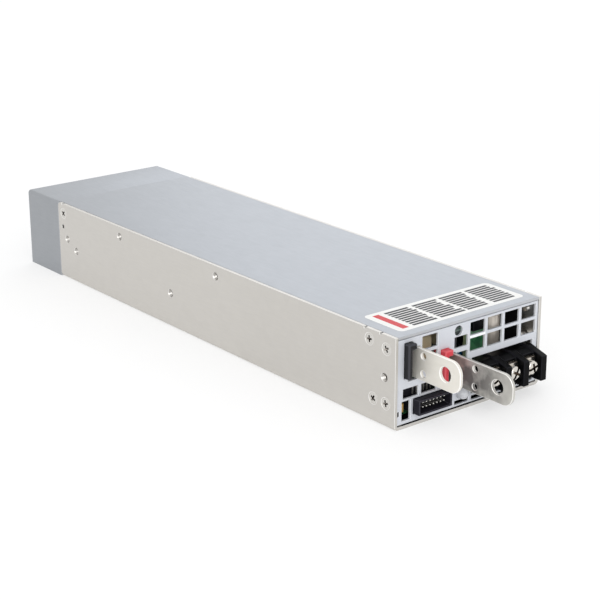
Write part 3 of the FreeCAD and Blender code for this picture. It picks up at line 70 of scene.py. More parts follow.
# Sockets of a Mix node for colours, which share their names with the ones for numbers
MIX_SHARE, MIX_FROM, MIX_TO, MIXED = 0, 6, 7, 2
WIRE_SIDES, WIRE_SMOOTH_DEGREES = 8, 60.0
FLAT_DEGREES, SOFTENED_DEGREES = 0.5, 40.0
SHEARED_RADIANS, SHEARED_SHARE = 1.0, 0.8
STRAY_SHARE = 0.6

Socket, Tree, Node = bpy.types.NodeSocket, bpy.types.NodeTree, bpy.types.Node
Mesh, Object, Material = bpy.types.Mesh, bpy.types.Object, bpy.types.Material
Pair = tuple[float, float]
Triple = tuple[float, float, float]
Span = tuple[Pair, Pair, Pair]
Box = tuple[Vector, Vector]


# Small tools


def linear(hex_colour: str) -> tuple[float, ...]:
    """Turn an sRGB hex colour to linear RGBA.

    Args:
        hex_colour: Six hex digits after a hash sign.

    Returns:
        The linear red, green and blue, and an alpha of one.
    """
    parts = [int(hex_colour[i:i + 2], 16) / 255 for i in (1, 3, 5)]
    return *[c / 12.92 if c <= 0.04045 else ((c + 0.055) / 1.055) ** 2.4 for c in parts], 1.0


def feed(node: Node, inputs: dict[Any, Any]) -> Node:
    """Fill a node's inputs.

    Args:
        node: The node.
        inputs: Input names or indexes, each with a value or with the socket that feeds it.

    Returns:
        The same node.
    """
    for key, value in inputs.items():
        if isinstance(value, Socket):
            node.id_data.links.new(value, node.inputs[key])
        else:
            node.inputs[key].default_value = value
    return node


def add_node(tree: Tree, kind: str, inputs: dict[Any, Any] | None = None, **settings: Any) -> Node:
    """Add a node to a tree, with its settings and links.

    Args:
        tree: The node tree.
        kind: The node's type.
        inputs: What fills its inputs.
        settings: Properties of the node itself.

    Returns:
        The new node.
    """
    node = tree.nodes.new(kind)
    for name, value in settings.items():
        setattr(node, name, value)
    return feed(node, inputs or {})


def link_object(name: str, mesh: Mesh, material: Material | None = None) -> Object:
    """Put a mesh into the scene as an object at the origin.

    Args:
        name: The piece's name.
        mesh: Its mesh.
        material: A material for all of it.

    Returns:
        The new object.
    """
    piece = bpy.data.objects.new(name, mesh)
    bpy.context.scene.collection.objects.link(piece)
    if material:
        mesh.materials.append(material)
    return piece


def to_mesh(name: str, shape: bmesh.types.BMesh) -> Mesh:
    """Turn a bmesh into a mesh, and free it.

    Args:
        name: The mesh's name.
        shape: The bmesh.

    Returns:
        The mesh.
    """
    mesh = bpy.data.meshes.new(name)
    shape.to_mesh(mesh)
    shape.free()
    return mesh


def bake(piece: Object) -> Object:
    """Turn a piece's modifiers into its plain mesh.

    Args:
        piece: An object with modifiers.

    Returns:
        The same object, with no modifier left.
    """
    graph = bpy.context.evaluated_depsgraph_get()
    mesh = bpy.data.meshes.new_from_object(piece.evaluated_get(graph), depsgraph=graph)
    piece.modifiers.clear()
    piece.data = mesh
    return piece


def drop(piece: Object) -> None:
    """Remove a helper object and its mesh."""
    mesh = piece.data
    bpy.data.objects.remove(piece)
    bpy.data.meshes.remove(mesh)


def mark_faces(mesh: Mesh, marks: Sequence[float]) -> None:
    """Mark a mesh's faces for the edge colour of a finish."""
    mesh.attributes.new(EDGE_MARK, "FLOAT", "FACE").data.foreach_set("value", marks)


def merged_copy(node: str) -> bmesh.types.BMesh:
    """Copy a CAD node's mesh with its loose triangles joined.

    Args:
        node: The node's name.

    Returns:
        A bmesh of the node.
    """
    shape = bmesh.new()
    shape.from_mesh(frame["nodes"][node].data)
    bmesh.ops.remove_doubles(shape, verts=shape.verts, dist=NEAR)
    return shape


def solid_boxes(node: str) -> list[Box]:
    """Find the box of each separate solid in a CAD node.

    Args:
        node: The node's name.

    Returns:
        The lowest and highest corner of each solid, in a fixed order.
    """
    shape = merged_copy(node)
    unseen = set(shape.verts)
    found = []
    while unseen:
        reached, island = [unseen.pop()], []
        while reached:
            island.append(reached.pop())
            near = unseen.intersection(vert for edge in island[-1].link_edges for vert in edge.verts)
            unseen -= near
            reached += near
        found.append(tuple(Vector(most(v.co[i] for v in island) for i in range(3)) for most in (min, max)))
    shape.free()
    return sorted(found, key=lambda box: tuple(round(c, 5) for c in box[0]))


# Finishes


@dataclass(frozen=True)
class Finish:
    """A surface: what it is made of, its slot, its colours and how its grain looks.

    The grain is noise on Object coordinates, of a real size in millimetres. It mixes the two colours,
    spreads the roughness and raises a slight bump. Softened edges, which a mesh marks, may have a colour
    of their own: on most finishes a painted highlight, and in screw recesses a painted shade.
    """

    name: str
    slot: str
    colour: str
    shade: str
    metallic: float = 0.0
    roughness: float = 0.5
    spread: float = 0.06
    grain_mm: float = 1.0
    stretch: Triple = (1.0, 1.0, 1.0)
    bump_mm: float = 0.0
    coat: float = 0.0
    specular: float = 0.5
    transmission: float = 0.0
    edge: str = ""
    detail: float = 4.0

    @cache
    def material(self) -> Material:
        """Build the material, once.

        Returns:
            The finish's material.
        """
        material = bpy.data.materials.new(self.name)
        material.use_nodes = True
        tree = material.node_tree
        place = add_node(tree, "ShaderNodeTexCoord").outputs["Object"]
        grain = self.grain(tree, place)
        colour = self.tint(tree, place, grain)
        if self.edge:
            mark = add_node(tree, "ShaderNodeAttribute", attribute_name=EDGE_MARK).outputs["Fac"]
            mix = {MIX_SHARE: mark, MIX_FROM: colour, MIX_TO: linear(self.edge)}
            colour = add_node(tree, "ShaderNodeMix", mix, data_type="RGBA").outputs[MIXED]
        rough = add_node(tree, "ShaderNodeMapRange", {
            "Value": grain, "To Min": self.roughness - self.spread, "To Max": self.roughness + self.spread,
        })
        shader = feed(tree.nodes["Principled BSDF"], {
            "Base Color": colour, "Roughness": rough.outputs[0], "Metallic": self.metallic,
            "Coat Weight": self.coat, "Specular IOR Level": self.specular,
            "Transmission Weight": self.transmission,
        })
        if self.bump_mm:
            bump = add_node(tree, "ShaderNodeBump", {"Distance": self.bump_mm * MM, "Height": grain})
            feed(shader, {"Normal": bump.outputs["Normal"]})
        return material

    def grain(self, tree: Tree, place: Socket) -> Socket:
        """Add the grain's noise.

        Args:
            tree: The material's tree.
            place: Object coordinates.

        Returns:
            A socket that runs from zero to one.
        """
        scaled = add_node(tree, "ShaderNodeMapping", {"Vector": place, "Scale": self.stretch})
        return add_node(tree, "ShaderNodeTexNoise", {
            "Vector": scaled.outputs[0], "Scale": 1 / (self.grain_mm * MM), "Detail": self.detail,
        }).outputs[0]

    def tint(self, tree: Tree, place: Socket, grain: Socket) -> Socket:
        """Mix the two colours by the grain.

        Args:
            tree: The material's tree.
            place: Object coordinates.
            grain: The grain's socket.

        Returns:
            A colour socket.
        """
        mix = {MIX_SHARE: grain, MIX_FROM: linear(self.colour), MIX_TO: linear(self.shade)}
        return add_node(tree, "ShaderNodeMix", mix, data_type="RGBA").outputs[MIXED]


@dataclass(frozen=True)
class ZincSheet(Finish):
    """Zinc-coated steel sheet: rolled, with the faint cloudy flakes that the coating freezes into."""

    flake_mm: float = 5.0
    flake_strength: float = 0.3

    def tint(self, tree: Tree, place: Socket, grain: Socket) -> Socket:
        """Mix the colours by the rolled grain and by the coating's flakes.

        Args:
            tree: The material's tree.
            place: Object coordinates.
            grain: The grain's socket.

        Returns:
            A colour socket.
        """
        flakes = add_node(tree, "ShaderNodeTexVoronoi", {
            "Vector": place, "Scale": 1 / (self.flake_mm * MM),
        })
        tone = add_node(tree, "ShaderNodeSeparateColor", {0: flakes.outputs["Color"]})
        mix = {"Factor": self.flake_strength, "A": grain, "B": tone.outputs[0]}
        return super().tint(tree, place, add_node(tree, "ShaderNodeMix", mix).outputs[0])


@dataclass(frozen=True)
class PaintedReflectionPlate(Finish):
    """Soft plating with painted reflections: its shine goes in cloudy patches of painted reflection, which
    fade to the bolted end.
    """

    reflection_patches: Pair = (0.42, 0.6)
    fade_mm: Pair = (-166.0, -184.0)
    faded: float = 0.1

    def grain(self, tree: Tree, place: Socket) -> Socket:
        """Deepen the noise to clear patches of painted reflection.

        Args:
            tree: The material's tree.
            place: Object coordinates.

        Returns:
            A socket that runs from zero to one.
        """
        low, high = self.reflection_patches
        near, far = (y * MM for y in self.fade_mm)
        patches = add_node(tree, "ShaderNodeMapRange", {
            "Value": super().grain(tree, place), "From Min": low, "From Max": high,
        })
        along = add_node(tree, "ShaderNodeSeparateXYZ", {0: place}).outputs["Y"]
        fade = add_node(tree, "ShaderNodeMapRange", {
            "Value": along, "From Min": near, "From Max": far, "To Min": 1.0, "To Max": self.faded,
        })
        both = {0: patches.outputs[0], 1: fade.outputs[0]}
        return add_node(tree, "ShaderNodeMath", both, operation="MULTIPLY").outputs[0]


@dataclass(frozen=True)
class Laminate(Finish):
    """Glass-epoxy board under solder mask: copper runs show through as paler lines."""

    run_pitch_mm: float = 4.8
    run: str = "#2F6E45"
    run_edge: float = 0.9

    def tint(self, tree: Tree, place: Socket, grain: Socket) -> Socket:
        """Lay paler copper runs over the mask's colour.

        Args:
            tree: The material's tree.
            place: Object coordinates.
            grain: The grain's socket.

        Returns:
            A colour socket.
        """
        runs = add_node(tree, "ShaderNodeTexVoronoi", {
            "Vector": place, "Scale": 1 / (self.run_pitch_mm * MM),
        }, distance="MANHATTAN", feature="F2")
        edge = add_node(tree, "ShaderNodeMath", {
            0: runs.outputs["Distance"], 1: self.run_edge,
        }, operation="GREATER_THAN")
        mask = super().tint(tree, place, grain)
        mix = {MIX_SHARE: edge.outputs[0], MIX_FROM: mask, MIX_TO: linear(self.run)}
        return add_node(tree, "ShaderNodeMix", mix, data_type="RGBA").outputs[MIXED]


# Each finish gives its name, slot, colour, shade, metallic, roughness, the roughness' spread and the grain

# Rolled zinc sheet scatters light evenly: the tray looks matte and a little warm. Its paler sheared and
# softened edges are a painted highlight
TRAY = ZincSheet("Zinc-coated steel tray", "zinc_coated_sheet", "#D3D0CB", "#CECBC6", 1.0, 0.5, 0.04, 0.9,
                 (1.0, 0.12, 1.0), 0.003, edge="#F4F4F2")
# The cover's sheet is greyer and cooler than the tray's. Its paler edges are a painted highlight
COVER = ZincSheet("Zinc-coated steel cover", "cover_sheet_metal", "#A7AAAE", "#A1A4A8", 1.0, 0.46, 0.04,
                  0.9, (1.0, 0.12, 1.0), 0.003, edge="#C4C6CA")
# The panel's zinc is passivated: its clear film scatters light, so the sheet looks nearly white. Its paler
# edges are a painted highlight
PANEL = ZincSheet("Passivated zinc panel", "cover_sheet_metal", "#CED1D7", "#C8CBD2", 0.3, 0.5, 0.04, 0.9,
                  (0.12, 1.0, 1.0), 0.003, edge="#F4F6FA")
# Plated screws shine a little more than the sheet. The dark colour in their cut recess is painted shade
SCREW = Finish("Zinc-plated screw steel", "screw_steel", "#DAD8D4", "#CBC8C2", 1.0, 0.24, 0.06, 0.5,
               bump_mm=0.003, edge="#716C67")
# Thread of the press nuts, bright from the tap
THREAD = Finish("Cut thread steel", "screw_steel", "#CFCCC8", "#BEBBB6", 1.0, 0.3, 0.06, 0.4)
# Tin plate is soft and silvery, with a faint haze. Its paler edges are a painted highlight
TIN = Finish("Tin-plated copper", "tin_plate", "#D6D4CE", "#CAC7C0", 1.0, 0.55, 0.05, 2.2,
             (1.0, 0.3, 1.0), 0.002, edge="#F1F0EC")
# The front tab is satin: brushed before plating, so it scatters light and looks nearly white. Its paler edges
# are a painted highlight
SATIN_TIN = Finish("Satin tin plate", "tin_plate", "#E1DED6", "#D7D3CA", 0.3, 0.5, 0.05, 2.2,
                   (1.0, 0.3, 1.0), 0.002, edge="#F6F5F2")
# The rear tab's plate is greyer, and its dark cloudy patches are painted reflections that fade towards its
# bolted end. Its paler edges are a painted highlight
DULL_TIN = PaintedReflectionPlate("Tin plate with painted reflections", "tin_plate", "#C6C4BE", "#7E7B79", 0.7, 0.46, 0.1, 7.0,
                        edge="#EFEEEA")
# Nickel is bright and slightly yellow. Its dark edge colour is painted shade, in the cut recesses and on any
# marked edge
NICKEL = Finish("Nickel-plated steel", "nickel_plate", "#E2DED7", "#CFCAC2", 1.0, 0.16, 0.05, 0.6,
                bump_mm=0.003, edge="#857B70")
# Over brass, nickel keeps a warmer and softer shine than over steel
BRASS = Finish("Nickel-plated brass", "brass", "#CFC9BC", "#BDB6A6", 1.0, 0.26, 0.06, 0.6)
# Header pins are matte tin over brass: their dark shafts are painted shade and their pale points a painted
# highlight
PIN = Finish("Matte-tinned pin brass", "gold_plate", "#8C8A86", "#7C7A76", 0.6, 0.4, 0.05, 0.3,
             edge="#FAF8F2")
# Moulded block: nearly black, with a fine spark-eroded texture. Its slightly paler edges are a painted
# highlight
BLACK = Finish("Moulded black polyamide", "black_plastic", "#0A0A0C", "#070708", 0.0, 0.34, 0.06, 0.35,
               bump_mm=0.012, specular=0.06, edge="#1C1C20")
# The header is moulded of a harder resin, greyer and duller than the block. Its paler edges are a painted
# highlight
HEADER = Finish("Moulded black polyester", "black_plastic", "#25242B", "#1E1D23", 0.0, 0.5, 0.05, 0.35,
                bump_mm=0.01, specular=0.1, edge="#3B3A42")
# Moulded ABS has a soft satin shine. The paler colour of its softened edges is a painted highlight
BLACK_INSULATOR = Finish("Moulded black ABS", "black_insulator", "#141417", "#0F0F12", 0.0, 0.42, 0.05, 0.4,
                         bump_mm=0.01, specular=0.3, edge="#323238")
RED_INSULATOR = Finish("Moulded red ABS", "red_insulator", "#D0434D", "#C63C46", 0.0, 0.44, 0.05, 0.4,
                       bump_mm=0.01, specular=0.35, edge="#D65A62")
# Fans and moulded cases are black with a dull texture
FAN = Finish("Moulded black PBT", "fan_plastic", "#161718", "#101112", 0.0, 0.44, 0.06, 0.4,
             bump_mm=0.01, specular=0.35)
EPOXY = Finish("Moulded epoxy case", "epoxy_case", "#1C1D1F", "#141517", 0.0, 0.55, 0.06, 0.25,
               bump_mm=0.01)
# Solder mask is a glossy green, and the sawn edge shows the pale glass cloth
BOARD = Laminate("Solder-masked laminate", "board_laminate", "#1B5A38", "#174E30", 0.0, 0.36, 0.05, 2.0,
                 coat=0.3, edge="#B4BF97")
# Flame-proof film round the boards is black and slightly shiny
FILM = Finish("Black polypropylene film", "insulating_film", "#141415", "#0E0E0F", 0.0, 0.6, 0.05, 3.0,
              specular=0.15)
# Potted boxes are a dull tan, a little glossy where the mould was polished. The tan is raised nearly to
# white, partly painted light for the dim inside of the case
TAN = Finish("Tan potting box", "tan_box", "#F0E0BC", "#E6D4AC", 0.0, 0.38, 0.06, 0.8,
             bump_mm=0.008, edge="#E2D2AF")
# A metallised wrap: beige, with a bright line where a window mirrors in it
BEIGE = Finish("Metallised beige sleeve", "beige_sleeve", "#E6DDD3", "#DBD1C5", 0.5, 0.24, 0.04, 1.5,
               coat=0.3)
# Shrunk film is tight and glossy, with a printed stripe
SLEEVE = Finish("Dark shrunk sleeve", "dark_sleeve", "#181B22", "#11131A", 0.0, 0.2, 0.04, 1.5, coat=0.3)
STRIPE = Finish("Pale sleeve stripe", "dark_sleeve", "#B9BCC2", "#ACAFB6", 0.0, 0.26, 0.04, 1.2)
# Dipped epoxy runs smooth and shines
BLUE = Finish("Blue dipped epoxy", "blue_disc", "#1F6FA6", "#185F92", 0.0, 0.28, 0.06, 0.8, coat=0.3)
# Tantalum bodies are moulded in a pale amber
AMBER = Finish("Moulded amber epoxy", "tan_box", "#DDB777", "#CBA463", 0.0, 0.4, 0.06, 0.4, bump_mm=0.006)
# Drawn glass is clear and smooth, and shows the wire
TUBE = Finish("Fuse glass", "glass_tube", "#E6E7E4", "#DCDDD9", 0.0, 0.08, 0.03, 2.0, transmission=0.9)
# Enamel deepens the copper's red and keeps it glossy
COPPER = Finish("Enamelled copper wire", "copper_winding", "#B5622F", "#964A20", 1.0, 0.26, 0.06, 0.8)
# Layers of tape show as faint bands round the winding
TAPE = Finish("Amber winding tape", "copper_winding", "#D9B04A", "#C59A35", 0.0, 0.3, 0.05, 1.2,
              (0.05, 0.05, 1.0), 0.02, 0.2)
# Sintered ferrite is dark and dull, with a fine grit
FERRITE = Finish("Sintered ferrite", "ferrite", "#35363A", "#2A2B2E", 0.0, 0.6, 0.08, 0.4, bump_mm=0.015)
# Extruded aluminium has faint lines along its length
ALUMINIUM = Finish("Extruded aluminium", "aluminium", "#C6C8CA", "#B6B9BC", 1.0, 0.38, 0.06, 0.6,
                   (1.0, 0.1, 1.0), 0.004)
# A milky lens: white, with a soft shine
LENS = Finish("Diffusing lamp lens", "lamp_lens", "#E4E6EA", "#D9DCE1", 0.0, 0.24, 0.03, 1.5,
              transmission=0.25)
# The rotor's slot is worn pale at its edges, so a turn of it shows
TRIMMER = Finish("Trimmer rotor nylon", "trimmer_plastic", "#262E2C", "#1E2523", 0.0, 0.44, 0.06, 0.4,
                 bump_mm=0.01, edge="#7D8C87")
# Coated label stock has a faint fibre, and its inks lie flat and matte
PAPER = Finish("White label stock", "cover_sheet_metal", "#E6E6E4", "#DFDFDC", 0.0, 0.5, 0.05, 0.6,
               bump_mm=0.003, specular=0.3)
GREY_INK = Finish("Dark printing ink", "cover_sheet_metal", "#1E1F22", "#17181B", 0.0, 0.5, 0.04, 0.5,
                  specular=0.3)
RED_INK = Finish("Red printing ink", "cover_sheet_metal", "#C8262C", "#BC2026", 0.0, 0.46, 0.04, 0.5,
                 specular=0.3)

SLOT_FINISHES: dict[str, Finish] = {finish.slot: finish for finish in (
    TRAY, COVER, SCREW, TIN, NICKEL, BRASS, PIN, BLACK, BLACK_INSULATOR, RED_INSULATOR, FAN, EPOXY, BOARD,
    FILM, TAN, BEIGE, SLEEVE, BLUE, TUBE, COPPER, FERRITE, ALUMINIUM, LENS, TRIMMER,
)}
NODE_FINISHES: dict[str, Finish] = {
    "front_panel": PANEL, "negative_tab": SATIN_TIN, "positive_tab": DULL_TIN, "signal_header": HEADER,
    "transformer_winding": TAPE, "resonant_winding": TAPE, "auxiliary_winding": TAPE,
}
NODE_SLOTS: dict[str, str] = {p["node"]: p["material_slot"] for p in frame["record"]["subparts"]}
NODE_BODIES: dict[str, str] = {
    node: body for body, members in frame["record"]["behaviour"]["bodies"].items() for node in members
}


def finish_of(node: str) -> Finish:
    """Return the finish of a CAD node."""
    return NODE_FINISHES.get(node, SLOT_FINISHES[NODE_SLOTS[node]])


def dress_nodes() -> None:
    """Give every CAD node its finish."""
    for name, node in frame["nodes"].items():
        node.data.materials.clear()
        node.data.materials.append(finish_of(name).material())
    log.info("dressed %d nodes", len(frame["nodes"]))


def place_piece(piece: Object, node: str = "") -> None:
    """Let a piece ride on a body and stand for a CAD node.

    Args:
        piece: The finished object.
        node: The CAD node that it replaces, which gives the body.
    """
    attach(piece, NODE_BODIES.get(node, CASE_BODY))
    if node:
        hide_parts(node)
    log.info("%s: %d faces", piece.name, len(piece.data.polygons))


# Geometry Nodes


def make_tree(name: str, inputs: dict[str, str], body: Callable[[Tree, Any], Socket]) -> Tree:
    """Make a Geometry Nodes tree that ends in real geometry with a finish.

    Args:
        name: The tree's name.
        inputs: The names and kinds of its own inputs, with the geometry first.
        body: What adds the tree's own nodes after its inputs, and returns the geometry.

    Returns:
        The tree.
    """
    tree = bpy.data.node_groups.new(name, "GeometryNodeTree")
    for label, kind in {**inputs, "Finish": "Material"}.items():
        tree.interface.new_socket(label, in_out="INPUT", socket_type=f"NodeSocket{kind}")
    tree.interface.new_socket("Result", in_out="OUTPUT", socket_type="NodeSocketGeometry")
    start = add_node(tree, "NodeGroupInput").outputs
    solid = add_node(tree, "GeometryNodeRealizeInstances", {"Geometry": body(tree, start)})
    done = add_node(tree, "GeometryNodeSetMaterial", {
        "Geometry": solid.outputs[0], "Material": start["Finish"],
    })
    add_node(tree, "NodeGroupOutput", {"Result": done.outputs[0]})
    return tree


def copies_on_points(tree: Tree, start: Any) -> Socket:
    """Set a piece out on points, each with its own turn and stretch.

    Args:
        tree: The tree.
        start: The sockets of its inputs.

    Returns:
        The copies.
    """
    piece = add_node(tree, "GeometryNodeObjectInfo", {"Object": start["Piece"]})
    turn, stretch = (
        add_node(tree, "GeometryNodeInputNamedAttribute", {"Name": name}, data_type="FLOAT_VECTOR")
        for name in ("turn", "stretch")
    )
    angle = add_node(tree, "FunctionNodeEulerToRotation", {0: turn.outputs["Attribute"]})
    return add_node(tree, "GeometryNodeInstanceOnPoints", {
        "Points": start["Points"], "Instance": piece.outputs["Geometry"],
        "Rotation": angle.outputs[0], "Scale": stretch.outputs["Attribute"],
    }).outputs[0]


def wire_on_path(tree: Tree, start: Any) -> Socket:
    """Sweep a round wire along a path of edges.

    Args:
        tree: The tree.
        start: The sockets of its inputs.

    Returns:
        The wire.
    """
    curve = add_node(tree, "GeometryNodeMeshToCurve", {"Mesh": start["Path"]})
    section = add_node(tree, "GeometryNodeCurvePrimitiveCircle", {
        "Radius": start["Wire radius"], "Resolution": start["Sides"],
    })
    return add_node(tree, "GeometryNodeCurveToMesh", {
        "Curve": curve.outputs[0], "Profile Curve": section.outputs[0], "Fill Caps": True,
    }).outputs[0]


ARRAY_TREE = make_tree("Array on points", {"Points": "Geometry", "Piece": "Object"}, copies_on_points)
WIRE_TREE = make_tree("Wire along a path", {
    "Path": "Geometry", "Wire radius": "Float", "Sides": "Int",
}, wire_on_path)


@dataclass(frozen=True)
class Spot:
    """One place of an array: where, turned how, and stretched how."""

    at: Vector
    facing: Vector = UP
    spin: float = 0.0
    stretch: Triple = (1.0, 1.0, 1.0)

    def turn(self) -> Triple:
        """Return the Euler turn that points Z along facing, after a spin about Z."""
        aim = UP.rotation_difference(self.facing).to_matrix()
        return tuple((aim @ Matrix.Rotation(self.spin, 3, "Z")).to_euler())


def run_tree(piece: Object, tree: Tree, values: dict[str, Any]) -> Object:
    """Run a tree on a piece and keep the result as its plain mesh.

    Args:
        piece: The object with the tree's starting geometry.
        tree: The tree.
        values: Its inputs' names and values, set by their sockets' identifiers.

    Returns:
        The same object.
    """
    modifier = piece.modifiers.new(tree.name, "NODES")
    modifier.node_group = tree
    for item in tree.interface.items_tree:
        if item.in_out == "INPUT" and item.name in values:
            modifier[item.identifier] = values[item.name]
    return bake(piece)


def array(name: str, mesh: Mesh, spots: Sequence[Spot], finish: Finish, node: str = "") -> None:
    """Set a mesh out on spots as one piece.

    Args:
        name: The piece's name.
        mesh: The mesh that is repeated, about its own origin.
        spots: Where the copies go.
        finish: Their finish.
        node: The CAD node that the piece replaces.
    """
    points = bpy.data.meshes.new(name)
    points.from_pydata([spot.at for spot in spots], [], [])
    for key, values in (("turn", [s.turn() for s in spots]), ("stretch", [s.stretch for s in spots])):
        column = points.attributes.new(key, "FLOAT_VECTOR", "POINT")
        column.data.foreach_set("vector", [c for value in values for c in value])
    pattern = link_object(f"{name}_pattern", mesh)
    piece = link_object(name, points)
    run_tree(piece, ARRAY_TREE, {"Piece": pattern, "Finish": finish.material()})
    drop(pattern)
    place_piece(piece, node)


def wires(
    name: str, paths: Sequence[Sequence[Vector]], radius: float, finish: Finish, node: str = ""
) -> None:
    """Sweep round wires along paths as one piece.

    Args:
        name: The piece's name.
        paths: The points of each wire's middle line.
        radius: The wire's radius.
        finish: Its finish.
        node: The CAD node that the piece replaces.
    """
    points, edges = [], []
    for path in paths:
        edges += [(len(points) + i, len(points) + i + 1) for i in range(len(path) - 1)]
        points += path
    lines = bpy.data.meshes.new(name)
    lines.from_pydata(points, edges, [])
    piece = run_tree(link_object(name, lines), WIRE_TREE, {
        "Wire radius": radius * MM, "Sides": WIRE_SIDES, "Finish": finish.material(),
    })
    smooth_by_angle(piece.data, WIRE_SMOOTH_DEGREES)
    place_piece(piece, node)


# Shapes


def about(size: float) -> Pair:
    """Return a span of a size about zero."""
    return -size / 2, size / 2


def mirrored(profile: Sequence[Pair]) -> list[Pair]:
    """Return a profile's mirror image, from its end back to its start."""
    return [(r, -z) for r, z in reversed(profile)]


def smooth_by_angle(mesh: Mesh, degrees: float = 35.0) -> None:
    """Shade a mesh smooth, with edges sharper than an angle kept."""
    mesh.shade_smooth()
    mesh.set_sharp_from_angle(angle=math.radians(degrees))


def lathe(
    name: str, profile: Sequence[Pair], segments: int = 40, ring: bool = False, sweep: float = math.tau
) -> Mesh:
    """Turn a profile about Z.

    Args:
        name: The mesh's name.
        profile: Radii and heights. It ends on the axis unless it is a ring.
        segments: Steps round the axis.
        ring: Whether the profile's end joins its start.
        sweep: The angle that is turned.

    Returns:
        A mesh, smooth where the profile bends gently.
    """
    shape = bmesh.new()
    verts = [shape.verts.new((r * MM, 0, z * MM)) for r, z in profile]
    pairs = list(zip(verts, verts[1:])) + ([(verts[-1], verts[0])] if ring else [])
    edges = [shape.edges.new(pair) for pair in pairs]
    bmesh.ops.spin(shape, geom=verts + edges, axis=UP, cent=(0, 0, 0), angle=sweep, steps=segments)
    bmesh.ops.remove_doubles(shape, verts=shape.verts, dist=LATHE_NEAR)
    bmesh.ops.recalc_face_normals(shape, faces=shape.faces)
    mesh = to_mesh(name, shape)
    smooth_by_angle(mesh)
    return mesh


def boxes(name: str, spans: Iterable[Span], soft: float = 0.0) -> Mesh:
    """Make boxes from their spans.

    Args:
        name: The mesh's name.
        spans: The X, Y and Z span of each box.
        soft: The width of their softened edges.

    Returns:
        One mesh of all the boxes.
    """
    shape = bmesh.new()
    for span in spans:
        size = Matrix.Diagonal([(high - low) * MM for low, high in span] + [1])
        middle = Matrix.Translation([(low + high) / 2 * MM for low, high in span])
        bmesh.ops.create_cube(shape, size=1, matrix=middle @ size)
    if soft:
        bmesh.ops.bevel(shape, geom=list(shape.edges), offset=soft * MM, segments=2, profile=0.5,
                        affect="EDGES", clamp_overlap=True)
    mesh = to_mesh(name, shape)
    smooth_by_angle(mesh)
    return mesh


def carve(mesh: Mesh, tool: Mesh) -> Mesh:
    """Cut one mesh out of another. The cut faces are marked for the finish.

    Args:
        mesh: What is cut.
        tool: The shape of the cut.

    Returns:
        The cut mesh.
    """
    mark_faces(tool, [1.0] * len(tool.polygons))
    piece = link_object("carve_piece", mesh)
    cutter = link_object("carve_tool", tool)
    modifier = piece.modifiers.new("Carve", "BOOLEAN")
    modifier.object = cutter
    modifier.solver = "EXACT"
    result = bake(piece).data
    bpy.data.objects.remove(piece)
    drop(cutter)
    smooth_by_angle(result)
    return result


def cross(length: float, width: float, depth: Pair) -> list[Span]:
    """Return the spans of two bars that cross on the Z axis."""
    return [(about(length), about(width), depth), (about(width), about(length), depth)]


def carve_bars(mesh: Mesh, bars: Iterable[Span], taper: float = 1.0) -> Mesh:
    """Cut bars into the top of a mesh, one after another.

    Args:
        mesh: What is cut, with its top at the origin.
        bars: The bars' spans.
        taper: How much narrower they are at their bottom.

    Returns:
        The cut mesh.
    """
    for bar in bars:
        tool = boxes("carve_bar", [bar])
        for vert in tool.vertices:
            if vert.co.z < 0:
                vert.co.xy *= taper
        mesh = carve(mesh, tool)
    return mesh


def is_cut_edge(face: bmesh.types.BMFace, sheet: float) -> bool:
    """Tell whether a face is the sheared edge of a sheet.

    Args:
        face: A flat face.
        sheet: The sheet's thickness, at most.

    Returns:
        Whether the face is as narrow as the sheet and has sharp edges nearly all round.
    """
    lengths = [edge.calc_length() for edge in face.edges]
    sharp = sum(
        length for length, edge in zip(lengths, face.edges)
        if edge.is_manifold and edge.calc_face_angle() > SHEARED_RADIANS
    )
    return sharp > SHEARED_SHARE * sum(lengths) and face.calc_area() < sheet * MM * max(lengths)


def draw_back(mesh: Mesh, solid: BVHTree, box: Box, reach: float) -> None:
    """Draw back the points that a bevel throws off a solid where its edges crowd.

    Args:
        mesh: The bevelled mesh.
        solid: The faces before the bevel.
        box: The solid's low and high corner.
        reach: How far from those faces a point may stand.
    """
    for vert in mesh.vertices:
        near, _, _, gap = solid.find_nearest(vert.co)
        if gap > reach * MM:
            vert.co = near
        vert.co = [min(max(place, low), high) for place, low, high in zip(vert.co, *box)]


def soften(node: str, width: float, sheet: float = 0.0) -> None:
    """Replace a CAD node by a copy with soft edges, as tools and moulds leave them.

    The softened edges, and a sheet's sheared ones, are marked in the mesh for the finish.

    Args:
        node: The node's name.
        width: The width of the softened edge.
        sheet: The thickness of a sheet whose sheared edges are marked.
    """
    shape = merged_copy(node)
    bmesh.ops.dissolve_limit(shape, angle_limit=math.radians(FLAT_DEGREES), verts=shape.verts,
                             edges=shape.edges, use_dissolve_boundaries=False)
    for face in shape.faces:
        face.material_index = int(is_cut_edge(face, sheet))
    solid = BVHTree.FromBMesh(shape)
    mesh = to_mesh(node, shape)
    finish = finish_of(node)
    mesh.materials.append(finish.material())
    smooth_by_angle(mesh)
    # A second place for the material tells the softened faces apart until they are marked
    piece = link_object(f"{node}_soft", mesh, finish.material())
    bevel = piece.modifiers.new("Soft edges", "BEVEL")
    bevel.width = width * MM
    bevel.segments = 2
    bevel.limit_method = "ANGLE"
    bevel.angle_limit = math.radians(SOFTENED_DEGREES)
    bevel.use_clamp_overlap = False
    bevel.material = 1
    flat = piece.modifiers.new("Flat faces stay flat", "WEIGHTED_NORMAL")
    flat.weight = 100
    flat.keep_sharp = True
    mesh = bake(piece).data
    draw_back(mesh, solid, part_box(node), STRAY_SHARE * width)
    # Marked faces take the finish's edge colour: a painted highlight on sheet metal, the glass cloth on
    # boards. A sheet's edge that faces up mirrors the lamps, and is pale without the mark
    up = 1.0 if sheet else 0.0
    mark_faces(mesh, [face.material_index * (1.0 - up * max(0.0, face.normal.z)) for face in mesh.polygons])
    mesh.polygons.foreach_set("material_index", [0] * len(mesh.polygons))
    mesh.materials.pop()
    place_piece(piece, node)


# Sub-assemblies


class Head(Enum):
    """The form of a screw's head."""

    COUNTERSUNK = "countersunk"
    PAN = "pan"


